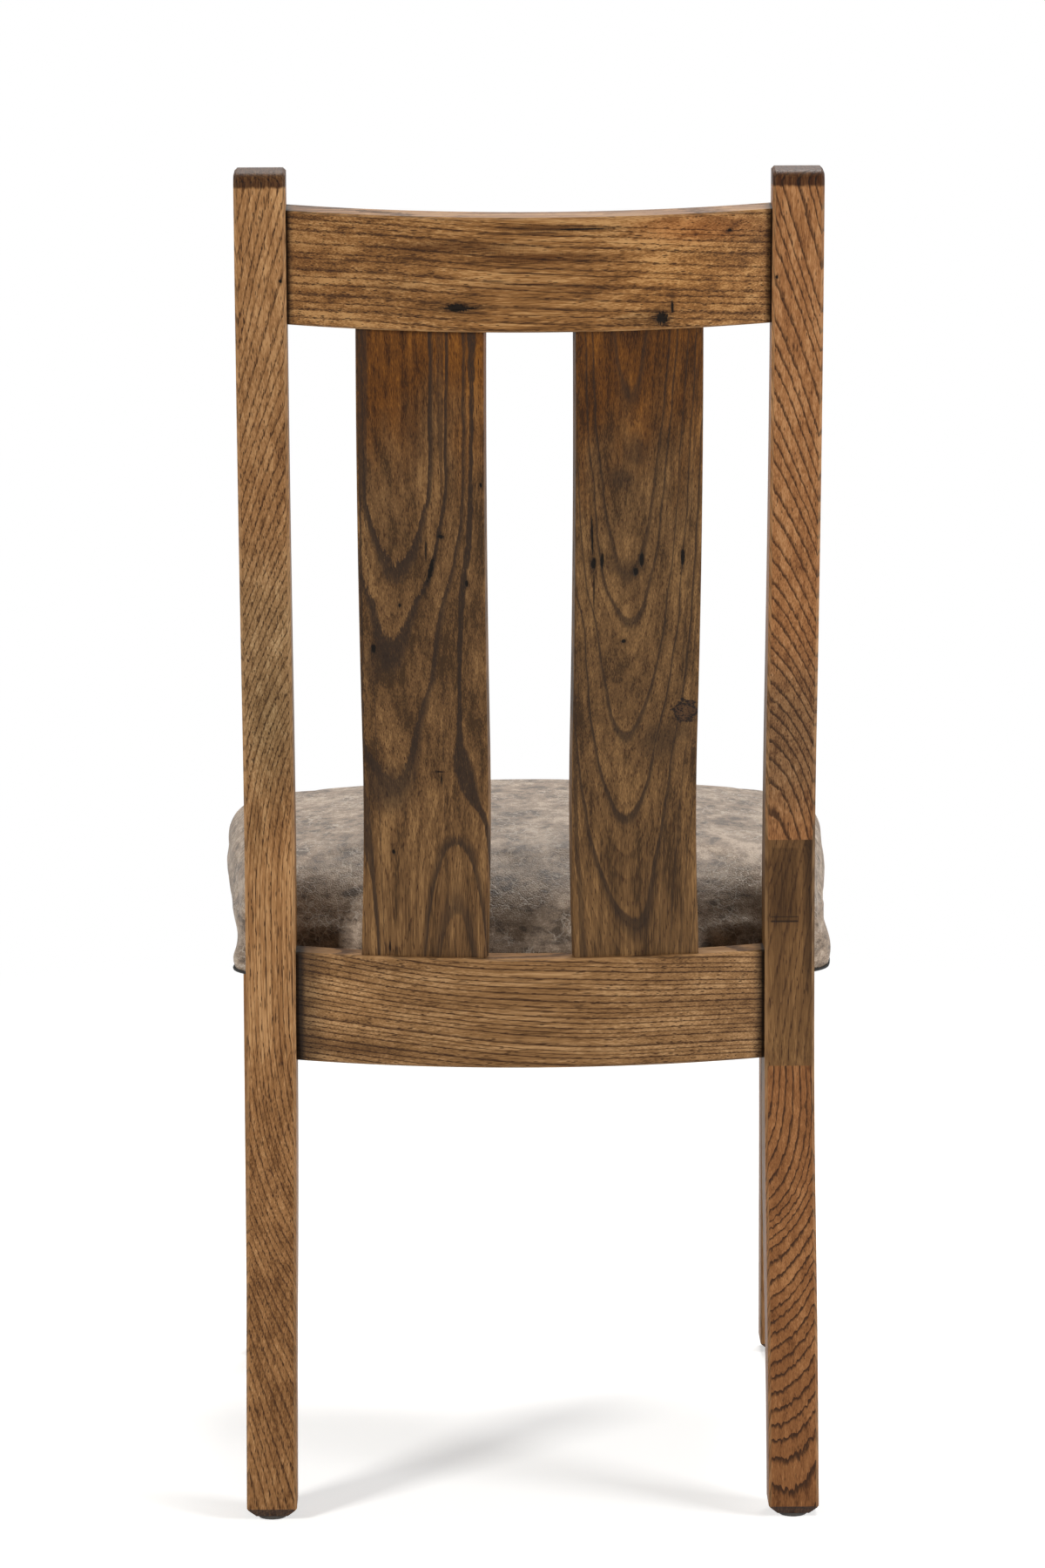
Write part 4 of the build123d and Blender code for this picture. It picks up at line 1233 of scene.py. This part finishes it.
# %% Leather material
HIDE_END = (395.6, 394.4)
hide, tree, inputs = new_material("distressed_leather")
space = millimetres(tree)
wash = cloud(space, (34.0, 38.0, 12.0), detail=5.0, roughness=0.7)
blot = cloud(space, (10.0, 14.0, 5.5), detail=6.0, roughness=0.75)
tone = plus(plus(swing(wash, 3.6), 0.5), swing(blot, 3.4))
colour = blend(fade(tone, -0.1, 0.5), paint(100, 86, 73), paint(159, 141, 123))
colour = blend(fade(tone, 0.5, 1.1), colour, paint(204, 186, 167))
bent = put(tree, "TexNoise", Vector=space, Scale=0.1, Detail=3.0, out=1)
bent = vector_calc("ADD", space, vector_calc("MULTIPLY", bent, (16.0, 16.0, 16.0)))
crackle = put(
    tree, "TexVoronoi", Vector=bent, Scale=0.11, Detail=1.0, feature="DISTANCE_TO_EDGE"
)
sparse = fade(cloud(space, (36.0, 36.0, 24.0), detail=3.0), 0.4, 0.58)
crackle = times(fade(crackle, 0.0, 0.075, 1.0, 0.0), sparse)
colour = blend(times(crackle, 0.8), colour, paint(214, 202, 188))
pebble = put(tree, "TexVoronoi", Vector=space, Scale=0.8, Detail=1.0, Roughness=0.5)
pebble_dark = times(fade(pebble, 0.3, 0.75), 0.5)
colour = blend(pebble_dark, colour, paint(140, 126, 114), "MULTIPLY")
colour = blend(fade(parts(space)[2], *HIDE_END), colour, paint(12, 11, 10))
height = times_plus(crackle, -0.8, times(pebble, -1.0))
bump = put(tree, "Bump", Strength=0.6, Distance=0.0005, Height=height)
rough = times_plus(blot, 0.18, 0.45)
words = {"Base Color": colour, "Roughness": rough, "Normal": bump, "Specular IOR Level": 0.3}
feed(inputs, words)
pad.data.materials.clear()
pad.data.materials.append(hide)
print("hide nodes:", len(tree.nodes))

# %% [markdown]
# ## Hidden pieces
#
# Corner blocks, dowels, the seat board, the dust cover, screws and glides are seldom seen, but a
# chair is turned over sooner or later. Each still gets the finish of its own stuff.

# %% Hidden woods
def at_corners(name):
    """The names of a piece that stands at all four corners."""
    return [f"{name}_{end}_{side}" for end in ("front", "rear") for side in ("left", "right")]


board(
    "corner_block_wood", at_corners("corner_block"), UPRIGHT,
    {"Pith": (40.0, 10.0, 0.0), "Ring_Width": 5.0},
    ((130, 98, 64), (176, 142, 102), (205, 172, 130)), Pore_Amount=0.5,
)
board(
    "dowel_beech_wood", ["side_rail_dowels_left", "side_rail_dowels_right", "front_rail_dowels"],
    UPRIGHT, {"Pith": (0.0, 40.0, 0.0), "Ring_Width": 3.0},
    ((176, 138, 96), (206, 170, 128), (226, 196, 156)), Pore_Amount=0.25,
)
board(
    "seat_plywood", ["seat_board"], LEVEL,
    {"Pith": (-380.0, 0.0, 0.0), "Ring_Width": 2.0, "Sway": 2.0},
    ((150, 112, 72), (190, 152, 108), (214, 180, 138)), Pore_Amount=0.3,
)

# %% Dust cover, metal and plastic
def mottled(name, size, detail, dark, light):
    """A material mottled finely between two colours, with its inputs and its mottling."""
    material, tree, inputs = new_material(name)
    speck = cloud(millimetres(tree), size, detail)
    feed(inputs, {"Base Color": blend(speck, paint(*dark), paint(*light))})
    return material, inputs, speck


cloth, inputs, felt = mottled("black_dust_cloth", (0.5,) * 3, 3.0, (12, 12, 12), (44, 43, 42))
bump = put(home(felt), "Bump", Strength=0.5, Distance=0.0003, Height=felt)
feed(inputs, {"Roughness": 0.9, "Normal": bump})
dress(cloth, "dust_cover")
turned_edge.data.materials.append(cloth)

zinc, inputs, haze = mottled("zinc_screws", (1.2,) * 3, 3.0, (150, 146, 136), (206, 202, 192))
feed(inputs, {"Roughness": fade(haze, 0.3, 0.7, 0.25, 0.5), "Metallic": 1.0})
dress(zinc, "corner_block_screws", "seat_screws", "glide_nails")

nylon, inputs, scuff = mottled("dark_nylon", (1.5, 1.5, 0.6), 4.0, (30, 27, 24), (62, 57, 52))
feed(inputs, {"Roughness": fade(scuff, 0.3, 0.7, 0.45, 0.7)})
dress(nylon, *at_corners("floor_glide"))
